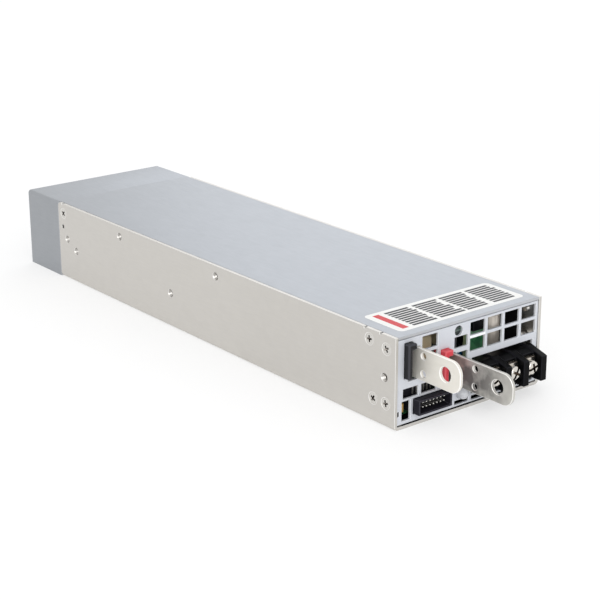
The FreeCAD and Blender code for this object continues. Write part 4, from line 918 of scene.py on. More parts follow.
@dataclass(frozen=True)
class ScrewForm:
    """A screw with a cross recess, its head's crown at the origin and its shank along -Z."""

    head: Head
    head_radius: float
    head_depth: float
    shank_radius: float
    length: float
    recess_width: float = 0.9
    recess_span: float = 3.2
    recess_depth: float = 1.1
    recess_taper: float = 0.45
    recess_rise: float = 0.1
    slotted: bool = False
    slot_depth: float = 0.8
    thread_pitch: float = 0.5
    thread_share: float = 0.3
    dome_share: float = 0.38
    dome_flat: float = 0.55

    def crown(self) -> list[Pair]:
        """Return the head's outline, from its middle to its underside.

        Returns:
            Radii and heights.
        """
        r = self.head_radius
        if self.head is Head.COUNTERSUNK:
            return [(0, 0), (0.5 * r, -0.03), (0.82 * r, -0.12), (r - 0.1, -0.24), (r - 0.06, -0.32)]
        dome, flat = self.dome_share * self.head_depth, self.dome_flat
        steps = [math.radians(a) for a in range(0, 91, 15)]
        arc = [(r * (flat + (1 - flat) * math.sin(a)), -dome * (1 - math.cos(a))) for a in steps]
        return [(0, 0), *arc, (r, -self.head_depth)]

    def profile(self) -> list[Pair]:
        """Return the outline, from the head's crown over the thread's ridges to the shank's tip.

        Returns:
            Radii and heights.
        """
        root = self.shank_radius - self.thread_share * self.thread_pitch
        outline = [*self.crown(), (self.shank_radius, -self.head_depth)]
        depth = self.head_depth + self.thread_pitch / 2
        while depth + self.thread_pitch < self.length:
            outline += [(self.shank_radius, -depth), (root, -depth - self.thread_pitch / 2)]
            depth += self.thread_pitch
        return [*outline, (root, -self.length), (0, -self.length)]

    def mesh(self, name: str) -> Mesh:
        """Turn the screw and cut its recess.

        Args:
            name: The mesh's name.

        Returns:
            The screw's mesh.
        """
        bars = cross(self.recess_span, self.recess_width, (-self.recess_depth, self.recess_rise))
        if self.slotted:
            slot, depth = about(2 * self.head_radius / self.recess_taper), self.slot_depth * self.recess_depth
            bars[0] = (slot, about(self.recess_width), (-depth, self.recess_rise))
        return carve_bars(lathe(name, self.profile()), bars, self.recess_taper)


def end_spots(node: str, outward: Vector | None, seed: int | None = None) -> list[Spot]:
    """Find the outer end of each solid in a node.

    Args:
        node: The CAD node.
        outward: Which way the solids face, or none for away from the case's middle along X.
        seed: What fixes a turn by chance, or none for no turn.

    Returns:
        One spot for each solid, on its outer end.
    """
    chance = random.Random(seed)
    spots = []
    for low, high in solid_boxes(node):
        middle, half = (low + high) / 2, (high - low) / 2
        facing = outward or Vector((math.copysign(1, middle.x), 0, 0))
        reach = Vector(f * h for f, h in zip(facing, half))
        spin = 0.0 if seed is None else chance.uniform(0, math.pi / 2)
        spots.append(Spot(middle + reach, facing, spin))
    return spots


@dataclass
class Screws:
    """The screws that hold the case, the fans and the main board."""

    flat: ScrewForm = ScrewForm(Head.COUNTERSUNK, 2.65, 1.2, 1.45, 4.5)
    pan: ScrewForm = ScrewForm(Head.PAN, 2.75, 1.8, 1.45, 5.8)
    seed: int = 7

    def build(self) -> None:
        """Make each set of screws."""
        sets = (("case_screws", self.flat, None), ("fan_screws", self.flat, BACKWARD),
                ("board_screws", self.pan, UP))
        for node, form, outward in sets:
            array(f"{node}_cross", form.mesh(node), end_spots(node, outward, self.seed), SCREW, node)


@dataclass
class PressNuts:
    """The press nuts behind the mounting holes: a chamfered collar in the sheet and a threaded bore."""

    collar_radius: float = 1.96
    collar_edge: float = 0.08
    bore_radius: float = 1.55
    thread_depth: float = 0.24
    thread_pitch: float = 0.7
    chamfer: float = 0.5
    body_radius: float = 3.0
    sheet: float = 1.5
    gap: float = 0.02

    def profile(self, depth: float) -> list[Pair]:
        """Return the closed outline, from the collar down the bore and back along the body.

        Args:
            depth: How far the nut reaches in from the wall's outer face.

        Returns:
            Radii and heights.
        """
        outline = [(self.collar_radius, -2 * self.gap), (self.collar_radius - self.collar_edge, -self.gap)]
        level = self.gap + self.chamfer
        while level + self.thread_pitch < depth:
            outline.append((self.bore_radius, -level))
            outline.append((self.bore_radius + self.thread_depth, -level - self.thread_pitch / 2))
            level += self.thread_pitch
        outline += [(self.bore_radius, -depth), (self.body_radius, -depth)]
        return outline + [(r, -self.sheet - self.gap) for r in (self.body_radius, self.collar_radius)]

    def build(self) -> None:
        """Make a nut in each mounting hole."""
        node = "mount_nuts"
        low, high = solid_boxes(node)[0]
        nut = lathe(node, self.profile((high.x - low.x) / MM + self.sheet), ring=True)
        spots = [replace(s, at=s.at + s.facing * self.sheet * MM) for s in end_spots(node, None)]
        array(f"{node}_thread", nut, spots, THREAD, node)


@dataclass
class TerminalScrews:
    """The three pan-headed screws of the terminal block, each on its own body."""

    form: ScrewForm = ScrewForm(Head.PAN, 3.1, 2.6, 2.0, 10.6, recess_width=1.2, recess_span=4.4,
                                recess_depth=1.6, recess_taper=0.7, thread_pitch=0.7, slotted=True)
    spins: Triple = (0.5, 1.1, 0.25)

    def build(self) -> None:
        """Make each screw where its CAD node is."""
        for side, spin in zip(("left", "middle", "right"), self.spins):
            node = f"terminal_screw_{side}"
            spots = [replace(spot, spin=spin) for spot in end_spots(node, FORWARD)]
            array(f"{node}_cross", self.form.mesh(node), spots, NICKEL, node)


@dataclass
class SoftEdges:
    """Pieces whose form is right as it is, and which only need the soft edges of their making."""

    moulded: dict[str, float] = field(default_factory=lambda: {
        "negative_tab": 0.25, "positive_tab": 0.25,
        "negative_tab_insulator": 0.7, "positive_tab_insulator": 0.5,
        "terminal_block": 0.3, "terminal_clamp_left": 0.2, "terminal_clamp_middle": 0.2,
        "terminal_clamp_right": 0.2, "signal_header": 0.2, "board_connector": 0.2,
        "film_capacitor": 0.5, "line_capacitor": 0.5, "trimmer_body": 0.3, "trimmer_rotor": 0.2,
        "inrush_relay": 0.5, "bridge_rectifier": 0.5,
        "transformer_core": 0.4, "resonant_core": 0.4, "auxiliary_core": 0.4,
        "transformer_winding": 1.2, "resonant_winding": 0.9, "auxiliary_winding": 0.9,
        "rectifier_heatsink": 0.25, "inverter_heatsink": 0.25,
    })
    sheets: dict[str, float] = field(default_factory=lambda: {
        "chassis": 0.12, "top_cover": 0.12, "front_panel": 0.1,
        "main_board": 0.05, "control_board": 0.05, "driver_board": 0.05,
    })
    thickest_sheet: float = 1.7

    def build(self) -> None:
        """Make a softened copy of each piece."""
        for node, width in self.moulded.items():
            soften(node, width)
        for node, width in self.sheets.items():
            soften(node, width, self.thickest_sheet)


@dataclass
class WoundChoke:
    """A ring core with wire wound through it, on a moulded foot."""

    node: str
    windings: int = 1
    turns: int = 21
    wire_radius: float = 0.75
    base: float = 1.6
    saddle_share: float = 0.55
    foot_soft: float = 0.3
    ring_radius: float = 13.5
    hole_radius: float = 5.5
    round_off: float = 0.6
    gap: float = 0.5
    steps: int = 18
    squareness: float = 0.45

    def wire_path(self, centre: Vector, half_width: float, start: float, end: float) -> list[Vector]:
        """Follow the wire round the ring's section while it goes round the ring.

        Args:
            centre: The ring's middle.
            half_width: Half the ring's width along Y.
            start: The angle on the ring where the winding starts.
            end: Where it ends.

        Returns:
            The wire's middle line.
        """
        middle = (self.ring_radius + self.hole_radius) / 2
        reach = (self.ring_radius - self.hole_radius) / 2 - self.wire_radius
        turns = self.turns // self.windings
        path = []
        for i in range(turns * self.steps + 1):
            part = i / (turns * self.steps)
            section = math.tau * turns * part
            around = start + (end - start) * part
            waves = math.cos(section), math.sin(section)
            out, across = (math.copysign(abs(wave) ** self.squareness, wave) for wave in waves)
            radius, y = middle + reach * out, (half_width - self.wire_radius) * across
            path.append(centre + Vector((radius * math.sin(around), y, radius * math.cos(around))) * MM)
        return path

    def core(self, half_width: float) -> Mesh:
        """Turn the ring inside the winding.

        Args:
            half_width: Half the winding's width along the ring's axis.

        Returns:
            The core's mesh.
        """
        inset, q = 2 * self.wire_radius, self.round_off
        inner, outer, side = self.hole_radius + inset, self.ring_radius - inset, half_width - inset
        lower = [(inner, -side + q), (inner + q, -side), (outer - q, -side), (outer, -side + q)]
        return lathe(f"{self.node}_core", lower + mirrored(lower), ring=True)

    def build(self) -> None:
        """Wind the wire, and make the core and the foot."""
        low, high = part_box(self.node)
        x, y = (low.x + high.x) / 2, (low.y + high.y) / 2
        centre = Vector((x, y, low.z + (self.base + self.ring_radius) * MM))
        width, depth = (high.x - low.x) / MM, (high.y - low.y) / MM
        share, gap = math.tau / self.windings, self.gap / 2
        paths = [
            self.wire_path(centre, depth / 2, i * share + gap, (i + 1) * share - gap)
            for i in range(self.windings)
        ]
        wires(f"{self.node}_wire", paths, self.wire_radius, COPPER, self.node)
        array(f"{self.node}_core", self.core(depth / 2), [Spot(centre, BACKWARD)], FERRITE)
        foot = boxes(f"{self.node}_foot", [
            (about(width), about(depth), (0, self.base)),
            (about(self.saddle_share * width), about(depth), (self.base, 2 * self.base)),
        ], self.foot_soft)
        array(f"{self.node}_foot", foot, [Spot(Vector((x, y, low.z)))], BLACK)


@dataclass
class Cans:
    """The round capacitors: shrunk sleeves with a crimped foot, vented tops and, on dark ones, a stripe."""

    axes: dict[str, Vector] = field(default_factory=lambda: {
        "input_capacitor": UP, "output_capacitors": UP,
        "bulk_capacitor_front": FORWARD, "bulk_capacitor_rear": FORWARD,
    })
    seed: int = 3
    segments: int = 48
    start_at: Pair = (11.0, -131.0)
    start_radius: float = 4.5
    start_length: float = 24.5
    # The start can's printed stripe is turned towards the camera, where it also stands in as a painted
    # highlight
    start_spin: float = 3.1
    crimp: float = 0.94
    lip: float = 0.86
    vent_width: float = 0.35
    vent_share: float = 0.7
    vent_depth: Pair = (-0.25, 0.1)
    stripe_ends: Pair = (4.0, 1.0)
    stripe_thickness: float = 0.06
    stripe_angle: float = 0.7
    stripe_steps: int = 8
    fit: float = 0.02

    def sleeve(self, name: str, radius: float, length: float) -> Mesh:
        """Turn a sleeve with its top at the origin.

        Args:
            name: The mesh's name.
            radius: The can's radius.
            length: Its length.

        Returns:
            The sleeve's mesh.
        """
        crimp, lip = self.crimp * radius, self.lip * radius
        rise = [
            (0, 0), (0.9 * radius, 0), (0.97 * radius, 0.3), (radius, 0.8), (radius, 2.0),
            (crimp, 2.5), (crimp, 3.0), (radius, 3.6), (radius, length - 0.9),
            (0.985 * radius, length - 0.45), (0.95 * radius, length - 0.15), (0.9 * radius, length),
            (lip, length - 0.1), (lip, length - 0.4), (0, length - 0.4),
        ]
        return lathe(name, [(r, z - length) for r, z in rise], self.segments)

    def top(self, name: str, radius: float) -> Mesh:
        """Turn the disc in the sleeve's mouth and score its vent.

        Args:
            name: The mesh's name.
            radius: The can's radius.

        Returns:
            The disc's mesh.
        """
        r = self.lip * radius - self.fit
        outline = [(0, -0.12), (r - 0.3, -0.12), (r, -0.25), (r, -0.38), (0, -0.38)]
        vent = cross(2 * self.vent_share * r, self.vent_width, self.vent_depth)
        return carve_bars(lathe(name, outline, self.segments), vent)

    def stripe(self, name: str, radius: float, length: float) -> Mesh:
        """Turn a narrow strip that lies on the sleeve.

        Args:
            name: The mesh's name.
            radius: The can's radius.
            length: Its length.

        Returns:
            The strip's mesh.
        """
        r = radius - self.fit
        outer, foot, head = r + self.stripe_thickness, self.stripe_ends[0] - length, -self.stripe_ends[1]
        strip = [(r, foot), (outer, foot), (outer, head), (r, head)]
        return lathe(name, strip, self.stripe_steps, ring=True, sweep=self.stripe_angle)

    def build(self) -> None:
        """Make each node's cans, and the small can of the start supply behind the tabs."""
        for node, axis in self.axes.items():
            low, high = solid_boxes(node)[0]
            size = (high - low) / MM
            self.dress(node, end_spots(node, axis, self.seed), size.x / 2, abs(size.dot(axis)), node)
        x, y = (c * MM for c in self.start_at)
        spot = Spot(Vector((x, y, BOARD_TOP + self.start_length * MM)), spin=self.start_spin)
        self.dress("start_capacitor", [spot], self.start_radius, self.start_length)

    def dress(self, name: str, spots: Sequence[Spot], radius: float, length: float, node: str = "") -> None:
        """Make cans of one size.

        Args:
            name: What the pieces are named for.
            spots: The middles of their tops.
            radius: Their radius.
            length: Their length.
            node: The CAD node that they replace.
        """
        finish = finish_of(node) if node else SLEEVE
        array(f"{name}_sleeve", self.sleeve(name, radius, length), spots, finish, node)
        array(f"{name}_top", self.top(name, radius), spots, ALUMINIUM)
        if finish is SLEEVE:
            array(f"{name}_stripe", self.stripe(name, radius, length), spots, STRIPE)


@dataclass
class Discs:
    """The dipped discs: noise capacitors, the inrush thermistor and a surge disc behind the tabs."""

    segments: int = 48
    surge_at: Pair = (5.6, -137.6)
    surge_radius: float = 6.2
    surge_thickness: float = 3.6
    lead_length: float = 2.4
    lead_radius: float = 0.4
    lead_spread: float = 2.6
    lead_share: float = 0.8

    def disc(self, name: str, radius: float, thickness: float) -> Mesh:
        """Turn a lens-like disc about its middle.

        Args:
            name: The mesh's name.
            radius: The disc's radius.
            thickness: Its thickness.

        Returns:
            The disc's mesh.
        """
        shares = (0, 1), (0.62, 1), (0.84, 0.82), (0.96, 0.45)
        side = [(r * radius, z * thickness / 2) for r, z in shares]
        return lathe(name, [*side, (radius, 0), *mirrored(side)], self.segments)

    def build(self) -> None:
        """Make the discs of both nodes, and the surge disc on its leads."""
        for node in ("noise_capacitors", "inrush_thermistor"):
            solids = solid_boxes(node)
            size = (solids[0][1] - solids[0][0]) / MM
            spots = [Spot((low + high) / 2, FORWARD) for low, high in solids]
            array(f"{node}_dipped", self.disc(node, size.x / 2, size.y), spots, finish_of(node), node)
        x, y = (c * MM for c in self.surge_at)
        middle = Vector((x, y, BOARD_TOP + (self.lead_length + self.surge_radius) * MM))
        disc = self.disc("surge_disc", self.surge_radius, self.surge_thickness)
        array("surge_disc", disc, [Spot(middle, FORWARD)], BLUE)
        ends = BOARD_TOP, middle.z - self.lead_share * self.surge_radius * MM
        leads = [[Vector((x + side * self.lead_spread * MM, y, z)) for z in ends] for side in (-1, 1)]
        wires("surge_disc_leads", leads, self.lead_radius, TIN)


@dataclass
class Fuse:
    """The input fuse: a glass tube between two metal caps, with the wire inside."""

    cap_length: float = 6.0
    cap_wall: float = 0.35
    cap_end: float = 0.7
    seat: float = 0.8
    wall: float = 0.7
    wire_radius: float = 0.2
    fit: float = 0.02

    def build(self) -> None:
        """Make the tube, the caps and the wire."""
        node, along = "input_fuse", Vector((1, 0, 0))
        low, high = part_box(node)
        middle = (low + high) / 2
        half, cap = (high.x - low.x) / 2 / MM, (high.z - low.z) / 2 / MM
        glass, reach, foot = cap - self.cap_wall, half - self.seat, -self.cap_length
        bore, mouth = glass - self.wall, glass + self.fit
        tube = [(glass, -reach), (glass, reach), (bore, reach), (bore, -reach)]
        array("input_fuse_glass", lathe(node, tube, ring=True), [Spot(middle, along)], TUBE, node)
        cup = [
            (0, 0), (cap - 0.5, 0), (cap, -0.5), (cap, foot + 0.3), (cap - 0.15, foot),
            (mouth, foot), (mouth, -self.cap_end), (0, -self.cap_end),
        ]
        ends = [Spot(middle + along * side * half * MM, along * side) for side in (-1, 1)]
        array("input_fuse_caps", lathe("fuse_cap", cup), ends, NICKEL)
        line = [middle + along * side * reach * MM for side in (-1, 1)]
        wires("input_fuse_wire", [line], self.wire_radius, TIN)


@dataclass
class Transistors:
    """The flat transistors on both heatsinks: a moulded body on a bored tab, with three leads."""

    tab: float = 1.3
    tab_lap: float = 0.5
    tab_soft: float = 0.15
    body_height: float = 9.6
    body_gap: float = 0.1
    body_soft: float = 0.35
    lead_x: Pair = (1.8, 2.3)
    lead_pitch: float = 2.54
    lead_width: float = 0.8
    lead_lap: float = 0.4
    lead_soft: float = 0.08
    bore_radius: float = 1.7
    bore_reach: float = 5.0

    def bore(self, height: float) -> Mesh:
        """Turn the tool for the tab's bore, along X.

        Args:
            height: Where the bore is.

        Returns:
            The tool's mesh.
        """
        rod = [(0, -self.bore_reach), (self.bore_radius, -self.bore_reach)]
        tool = lathe("tab_bore", rod + mirrored(rod))
        tool.transform(Matrix.Translation((0, 0, height * MM)) @ Matrix.Rotation(math.pi / 2, 4, "Y"))
        return tool

    def build(self) -> None:
        """Make the transistors of each heatsink."""
        body = self.body_height
        for node in ("rectifier_transistors", "inverter_transistors"):
            solids = solid_boxes(node)
            size = (solids[0][1] - solids[0][0]) / MM
            across = about(size.y)
            spots = [Spot(Vector((low.x, (low.y + high.y) / 2, low.z))) for low, high in solids]
            case = boxes(node, [((self.body_gap, size.x), across, (0, body))], self.body_soft)
            array(f"{node}_bodies", case, spots, EPOXY, node)
            plate = boxes(node, [((0, self.tab), across, (body - self.tab_lap, size.z))], self.tab_soft)
            array(f"{node}_tabs", carve(plate, self.bore((body + size.z) / 2)), spots, TIN)
            drop_to_board = (solids[0][0].z - BOARD_TOP) / MM
            left, right = about(self.lead_width)
            legs = boxes(node, [
                (self.lead_x, (y + left, y + right), (-drop_to_board, self.lead_lap))
                for y in (-self.lead_pitch, 0, self.lead_pitch)
            ], self.lead_soft)
            array(f"{node}_leads", legs, spots, TIN)


@dataclass
class HeaderPins:
    """The signal header's square pins with pointed tips, and their tails on a strip behind the panel."""

    side: float = 0.5
    tip: float = 0.3
    point: float = 0.75
    tail_width: float = 0.7
    tail_depth: float = 0.6
    tail_height: float = 3.6
    tail_soft: float = 0.15
    strip_depth: float = 2.2
    strip_height: float = 4.6
    strip_ends: Pair = (6.6, 1.4)
    strip_soft: float = 0.2

    def pin(self, name: str, length: float) -> Mesh:
        """Make a pin with its point at the origin, and mark the point's faces for their painted highlight.

        Args:
            name: The mesh's name.
            length: The pin's length.

        Returns:
            The pin's mesh.
        """
        pin = boxes(name, [(about(self.side), about(self.side), (-length, 0))])
        shape = bmesh.new()
        shape.from_mesh(pin)
        bmesh.ops.bisect_plane(shape, geom=shape.verts[:] + shape.edges[:] + shape.faces[:],
                               plane_co=(0, 0, -self.tip * MM), plane_no=UP)
        for vert in shape.verts:
            if vert.co.z > -NEAR:
                vert.co.xy *= self.point
        mark = shape.faces.layers.float.new(EDGE_MARK)
        for face in shape.faces:
            face[mark] = float(face.calc_center_median().z > -self.tip * MM)
        shape.to_mesh(pin)
        shape.free()
        return pin

    def build(self) -> None:
        """Make the pins and, on the card over the shroud, a strip with the row of tails."""
        node = "header_pins"
        spots = end_spots(node, FORWARD)
        low, high = solid_boxes(node)[0]
        array(f"{node}_pointed", self.pin(node, (high.y - low.y) / MM), spots, PIN, node)
        # The last column's tail would stand under the red insulator
        columns = sorted({round(spot.at.x / MM, 2) for spot in spots})[:-1]
        card, top = CARD_FACE / MM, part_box("signal_header")[1].z / MM
        face = card - self.strip_depth
        ends = columns[0] - self.strip_ends[0], columns[-1] + self.strip_ends[1]
        strip = boxes("header_strip", [(ends, (face, card), (top, top + self.strip_height))], self.strip_soft)
        array("header_strip", strip, [Spot(Vector())], HEADER)
        tail = boxes("header_tails", [
            (about(self.tail_width), (-self.tail_depth, 0.0), (0.0, self.tail_height)),
        ], self.tail_soft)
        array("header_tails", tail, [Spot(Vector((x, face, top)) * MM) for x in columns], PIN)


@dataclass
class Films:
    """Black films: along the right wall, on the floor up to the panel and behind its corner reliefs.

    The wall and floor films are partly insulation and partly painted shade, which darkens what the windows
    and the panel's bottom gap show. The films behind the reliefs are painted shade only.
    """

    wall_x: Pair = (37.72, 37.92)
    wall_y: Pair = (-140.6, -76.0)
    wall_height: float = 29.0
    fold: float = 2.4
    floor_x: Pair = (-37.8, 37.8)
    floor_y: Pair = (-149.9, -140.1)
    relief_x: Pair = (39.75, 40.75)
    relief_y: Pair = (-149.4, -149.2)
    relief_z: Pair = (6.0, 8.0)
    thickness: float = 0.2
    soft: float = 0.05

    def build(self) -> None:
        """Make the films of flat lengths."""
        board, floor = BOARD_TOP / MM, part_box("insulation_sheet")[0].z / MM
        top = board + self.wall_height
        inner, outer = self.relief_x
        films = {
            # The wall film and the floor film's reach up to the panel are partly painted shade: they darken
            # what the windows and the bottom gap show
            "wall_film": [
                (self.wall_x, self.wall_y, (board, top)),
                ((self.wall_x[0] - self.fold, self.wall_x[1]), self.wall_y, (top, top + self.thickness)),
            ],
            "floor_film": [(self.floor_x, self.floor_y, (floor, floor + self.thickness))],
            # Dark sheets behind the corner reliefs: painted shade that stands in for the shade inside the
            # reliefs
            "relief_film": [
                (across, self.relief_y, self.relief_z) for across in ((-outer, -inner), (inner, outer))
            ],
        }
        for name, spans in films.items():
            place_piece(link_object(name, boxes(name, spans, self.soft), FILM.material()))


@dataclass
class BoardParts:
    """Small surface-mounted parts on the boards, set out by a fixed seed where the boards are free."""

    seed: int = 23
    tries: int = 420
    clearance: float = 0.6
    margin: float = 2.5
    front_margin: float = 12.0
    standing_z: Pair = (0.1, 1.5)
    chip: Triple = (2.2, 1.3, 0.7)
    chip_cap: float = 0.35
    chip_soft: float = 0.08
    card_zones: tuple[tuple[Pair, Pair], ...] = (((5.6, 13.2), (9.0, 22.0)), ((-37.0, -15.0), (16.2, 18.2)))
    card_pitch: Pair = (4.2, 3.2)
    amber_at: Pair = (-34.65, 7.1)
    amber_radius: float = 1.65
    amber_length: float = 3.9
    amber_segments: int = 32

    def standing(self) -> list[Box]:
        """Find what stands on the main board.

        Returns:
            The low and high corners, in millimetres.
        """
        level = BOARD_TOP / MM
        shell = {"chassis", "top_cover", "front_panel", "case_screws", "mount_nuts", "board_screws"}
        found = [tuple(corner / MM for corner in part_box(node)) for node in set(frame["nodes"]) - shell]
        for (x, y), r in ((Cans.start_at, Cans.start_radius), (Discs.surge_at, Discs.surge_radius)):
            found.append((Vector((x - r, y - r, level)), Vector((x + r, y + r, level + r))))
        lowest, highest = (level + z for z in self.standing_z)
        return [(low, high) for low, high in found if low.z < highest and high.z > lowest]

    def board_spots(self) -> list[Spot]:
        """Find places on the main board, clear of the larger parts and of each other.

        Returns:
            One spot for each chip.
        """
        chance = random.Random(self.seed)
        low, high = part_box("main_board")
        standing = self.standing()
        reach = self.clearance + self.chip[0] / 2
        taken = [tuple((spot.at / MM).xy) for spot in end_spots("board_screws", UP)]
        fixed = len(taken)
        for _ in range(self.tries):
            x = chance.uniform(low.x / MM + self.margin, high.x / MM - self.margin)
            y = chance.uniform(low.y / MM + self.front_margin, high.y / MM - self.margin)
            covered = any(
                a.x - reach < x < b.x + reach and a.y - reach < y < b.y + reach for a, b in standing
            )
            if not covered and all(math.hypot(x - a, y - b) > 2 * self.chip[0] for a, b in taken):
                taken.append((x, y))
        turns = [chance.choice((0.0, math.pi / 2)) for _ in taken]
        places = list(zip(taken, turns))[fixed:]
        return [Spot(Vector((x * MM, y * MM, BOARD_TOP)), spin=turn) for (x, y), turn in places]

    def card_spots(self) -> list[Spot]:
        """Find places on the control card's face, in rows.

        Returns:
            One spot for each chip.
        """
        spots = []
        for (left, right), (bottom, top) in self.card_zones:
            columns = max(1, round((right - left) / self.card_pitch[0]))
            rows = max(1, round((top - bottom) / self.card_pitch[1]))
            for i in range(rows * columns):
                x = left + (i % columns + 0.5) * (right - left) / columns
                z = bottom + (i // columns + 0.5) * (top - bottom) / rows
                spots.append(Spot(Vector((x * MM, CARD_FACE, z * MM)), FORWARD))
        return spots

    def build(self) -> None:
        """Make the chips with their tinned ends, and the amber capacitor on the card."""
        long, wide, high = self.chip
        outer = long / 2
        inner = outer - self.chip_cap
        chip, ends = (
            boxes("chips", [(along, about(wide), (0, high)) for along in lengths], self.chip_soft)
            for lengths in ([(-inner, inner)], [(-outer, -inner), (inner, outer)])
        )
        spots = self.board_spots() + self.card_spots()
        array("board_resistors", chip.copy(), spots[::2], EPOXY)
        array("board_capacitors", chip, spots[1::2], TAN)
        array("board_part_ends", ends, spots, TIN)
        r, half = self.amber_radius, self.amber_length / 2
        rise = [(0, half), (r - 0.4, half), (r - 0.1, half - 0.15), (r, half - 0.5)]
        body = lathe("amber_capacitor", rise + mirrored(rise), self.amber_segments)
        place = Vector((self.amber_at[0], CARD_FACE / MM - r, self.amber_at[1])) * MM
        array("amber_capacitor", body, [Spot(place)], AMBER)


@dataclass
class Label:
    """The bare label on the cover: white stock, a red band and rows of grey bars for print."""

    x: Pair = (-35.5, 37.0)
    y: Pair = (-145.3, -121.0)
    corner: float = 2.5
    corner_steps: int = 8
    thickness: float = 0.03
    ink_thickness: float = 0.01
    band_inset: float = 5.0
    band_width: float = 3.4
    seed: int = 11
    columns: int = 4
    column_start: float = 9.5
    column_pitch: float = 15.6
    rows: int = 9
    row_start: float = 3.4
    row_pitch: float = 2.2
    bar_lengths: Pair = (12.0, 14.4)
    bar_height: float = 1.5

    def outline(self) -> list[Pair]:
        """Return the rounded outline.

        Returns:
            The X and Y of its points.
        """
        r = self.corner
        x, y = ((low + r, high - r) for low, high in (self.x, self.y))
        points = []
        for quarter, (i, j) in enumerate(((1, 1), (0, 1), (0, 0), (1, 0))):
            for step in range(self.corner_steps + 1):
                angle = math.pi / 2 * (quarter + step / self.corner_steps)
                points.append((x[i] + r * math.cos(angle), y[j] + r * math.sin(angle)))
        return points

    def bars(self, face: float) -> list[Spot]:
        """Set out rows of bars in columns, with lengths that differ by a fixed seed.

        Args:
            face: The height of the label's face.

        Returns:
            The bars' middles, with their sizes as stretch.
        """
        chance = random.Random(self.seed)
        spots = []
        for column in range(self.columns):
            left = self.x[0] + self.column_start + column * self.column_pitch
            for row in range(self.rows):
                length = chance.uniform(*self.bar_lengths)
                y = self.y[1] - self.row_start - row * self.row_pitch
                middle = Vector(((left + length / 2) * MM, y * MM, face))
                spots.append(Spot(middle, stretch=(length, self.bar_height, 1.0)))
        return spots

    def build(self) -> None:
        """Make the stock and its print."""
        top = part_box("top_cover")[1].z
        face = top + self.thickness * MM
        shape = bmesh.new()
        sheet = shape.faces.new([shape.verts.new((x * MM, y * MM, top)) for x, y in self.outline()])
        grown = bmesh.ops.extrude_face_region(shape, geom=[sheet])["geom"]
        raised = [v for v in grown if isinstance(v, bmesh.types.BMVert)]
        bmesh.ops.translate(shape, vec=(0, 0, self.thickness * MM), verts=raised)
        bmesh.ops.recalc_face_normals(shape, faces=shape.faces)
        place_piece(link_object("label_stock", to_mesh("label_stock", shape), PAPER.material()))
        middle = Vector(((self.x[0] + self.band_inset) * MM, (self.y[0] + self.y[1]) / 2 * MM, face))
        size = self.band_width, self.y[1] - self.y[0] - 2 * self.corner, 1.0
        prints = (("label_bars", self.bars(face), GREY_INK),
                  ("label_band", [Spot(middle, stretch=size)], RED_INK))
        for name, spots, ink in prints:
            array(name, boxes(name, [(about(1), about(1), (0.0, self.ink_thickness))]), spots, ink)


# Studio


@dataclass
class PhotoCamera:
    """The camera that the photograph's corners were fitted to."""

    azimuth: float = -38.36
    elevation: float = 18.96
    roll: float = -0.229
    focal_px: float = 1594.8
    frame_px: float = 600.0
    shift: Pair = (-21.05, -7.98)
    distance: float = 794.0
    sensor: float = 36.0
    clip_start: float = 10.0

    def build(self) -> None:
        """Make the camera and let the scene use it."""
        az, el, roll = (math.radians(a) for a in (self.azimuth, self.elevation, self.roll))
        back = Vector((math.sin(az) * math.cos(el), -math.cos(az) * math.cos(el), math.sin(el)))
        across = UP.cross(back).normalized()
        upward = back.cross(across)
        right = math.cos(roll) * across + math.sin(roll) * upward
        top = -math.sin(roll) * across + math.cos(roll) * upward
        place = (right * -self.shift[0] + top * -self.shift[1] + back * self.distance) * MM
        data = bpy.data.cameras.new("photo_camera")
        data.sensor_width = self.sensor
        data.lens = self.focal_px / self.frame_px * self.sensor
        data.clip_start = self.clip_start * MM
        camera = bpy.data.objects.new("photo_camera", data)
        camera.matrix_world = Matrix.Translation(place) @ Matrix((right, top, back)).transposed().to_4x4()
        bpy.context.scene.collection.objects.link(camera)
        bpy.context.scene.camera = camera


@dataclass(frozen=True)
class SoftBox:
    """A square studio lamp, with its place and size in metres."""

    name: str
    at: Triple
    size: float
    watts: float
    colour: str = "#FFFFFF"
    target: Triple = (0, 0, 0.02)

    def build(self) -> None:
        """Hang the lamp and aim it at the case's middle."""
        data = bpy.data.lights.new(self.name, "AREA")
        data.size = self.size
        data.energy = self.watts
        data.color = linear(self.colour)[:3]
        lamp = bpy.data.objects.new(self.name, data)
        place = Vector(self.at)
        aim = (place - Vector(self.target)).to_track_quat("Z", "Y")
        lamp.matrix_world = Matrix.Translation(place) @ aim.to_matrix().to_4x4()
        lamp.visible_camera = False
        bpy.context.scene.collection.objects.link(lamp)


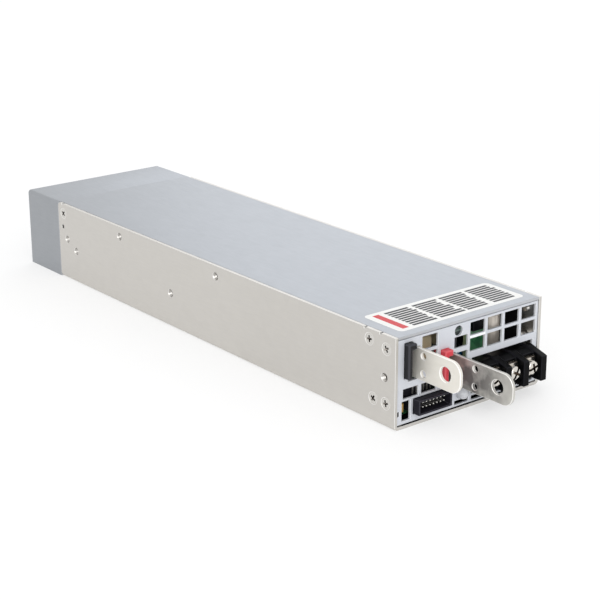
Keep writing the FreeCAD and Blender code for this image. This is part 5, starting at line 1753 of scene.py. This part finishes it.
@dataclass
class Studio:
    """A plain pale floor, soft lamps and a white surround. The floor's side is in metres."""

    floor_side: float = 12.0
    floor_colour: str = "#F6F6F6"
    floor_roughness: float = 0.9
    floor_glow: float = 0.55
    surround: str = "#FFFFFF"
    lamps: tuple[SoftBox, ...] = (
        SoftBox("back", (1.15, 0.95, 0.68), 1.1, 3.5, "#F3F7FF"),
        SoftBox("key", (-0.66, -0.82, 0.46), 0.9, 4.6),
    )

    def build(self) -> None:
        """Set up the floor, the lamps and the even white world."""
        half = self.floor_side / 2
        corners = ((-half, -half, 0), (half, -half, 0), (half, half, 0), (-half, half, 0))
        shape = bmesh.new()
        shape.faces.new([shape.verts.new(corner) for corner in corners])
        floor = link_object("floor", to_mesh("floor", shape), self.floor_material())
        for lamp in self.lamps:
            lamp.build()
        world = bpy.data.worlds.new("studio")
        world.use_nodes = True
        feed(world.node_tree.nodes["Background"], {"Color": linear(self.surround), "Strength": 1.0})
        bpy.context.scene.world = world
        bpy.context.scene.view_settings.view_transform = "Standard"

    def floor_material(self) -> Material:
        """Make the floor's matte white, lightened where it is seen directly, mirrored or through glass.

        Returns:
            The material, which still shows the supply's shadow.
        """
        material = bpy.data.materials.new("Matte studio floor")
        material.use_nodes = True
        tree = material.node_tree
        matte = feed(tree.nodes["Principled BSDF"], {
            "Base Color": linear(self.floor_colour), "Roughness": self.floor_roughness,
            "Specular IOR Level": 0.0,
        })
        rays = add_node(tree, "ShaderNodeLightPath").outputs
        seen = rays["Is Camera Ray"]
        for kind in ("Is Glossy Ray", "Is Transmission Ray"):
            seen = add_node(tree, "ShaderNodeMath", {0: seen, 1: rays[kind]}, operation="MAXIMUM").outputs[0]
        share = add_node(tree, "ShaderNodeMath", {0: seen, 1: self.floor_glow}, operation="MULTIPLY")
        white = add_node(tree, "ShaderNodeEmission", {"Color": linear(self.surround), "Strength": 1.0})
        mix = add_node(tree, "ShaderNodeMixShader", {
            0: share.outputs[0], 1: matte.outputs[0], 2: white.outputs[0],
        })
        feed(tree.nodes["Material Output"], {"Surface": mix.outputs[0]})
        return material


def main() -> None:
    """Dress the supply, light it and set the camera."""
    logging.basicConfig(level=logging.INFO, format="%(name)s: %(message)s")
    dress_nodes()
    chokes = [WoundChoke("filter_choke_front", 2), WoundChoke("filter_choke_rear", 2),
              WoundChoke("boost_choke"), WoundChoke("output_choke")]
    for part in (SoftEdges(), Screws(), PressNuts(), TerminalScrews(), *chokes, Cans(), Discs(), Fuse(),
                 Transistors(), HeaderPins(), Films(), BoardParts(), Label(), Studio(), PhotoCamera()):
        log.info("building %s", type(part).__name__)
        part.build()


if __name__ == "__main__":
    main()
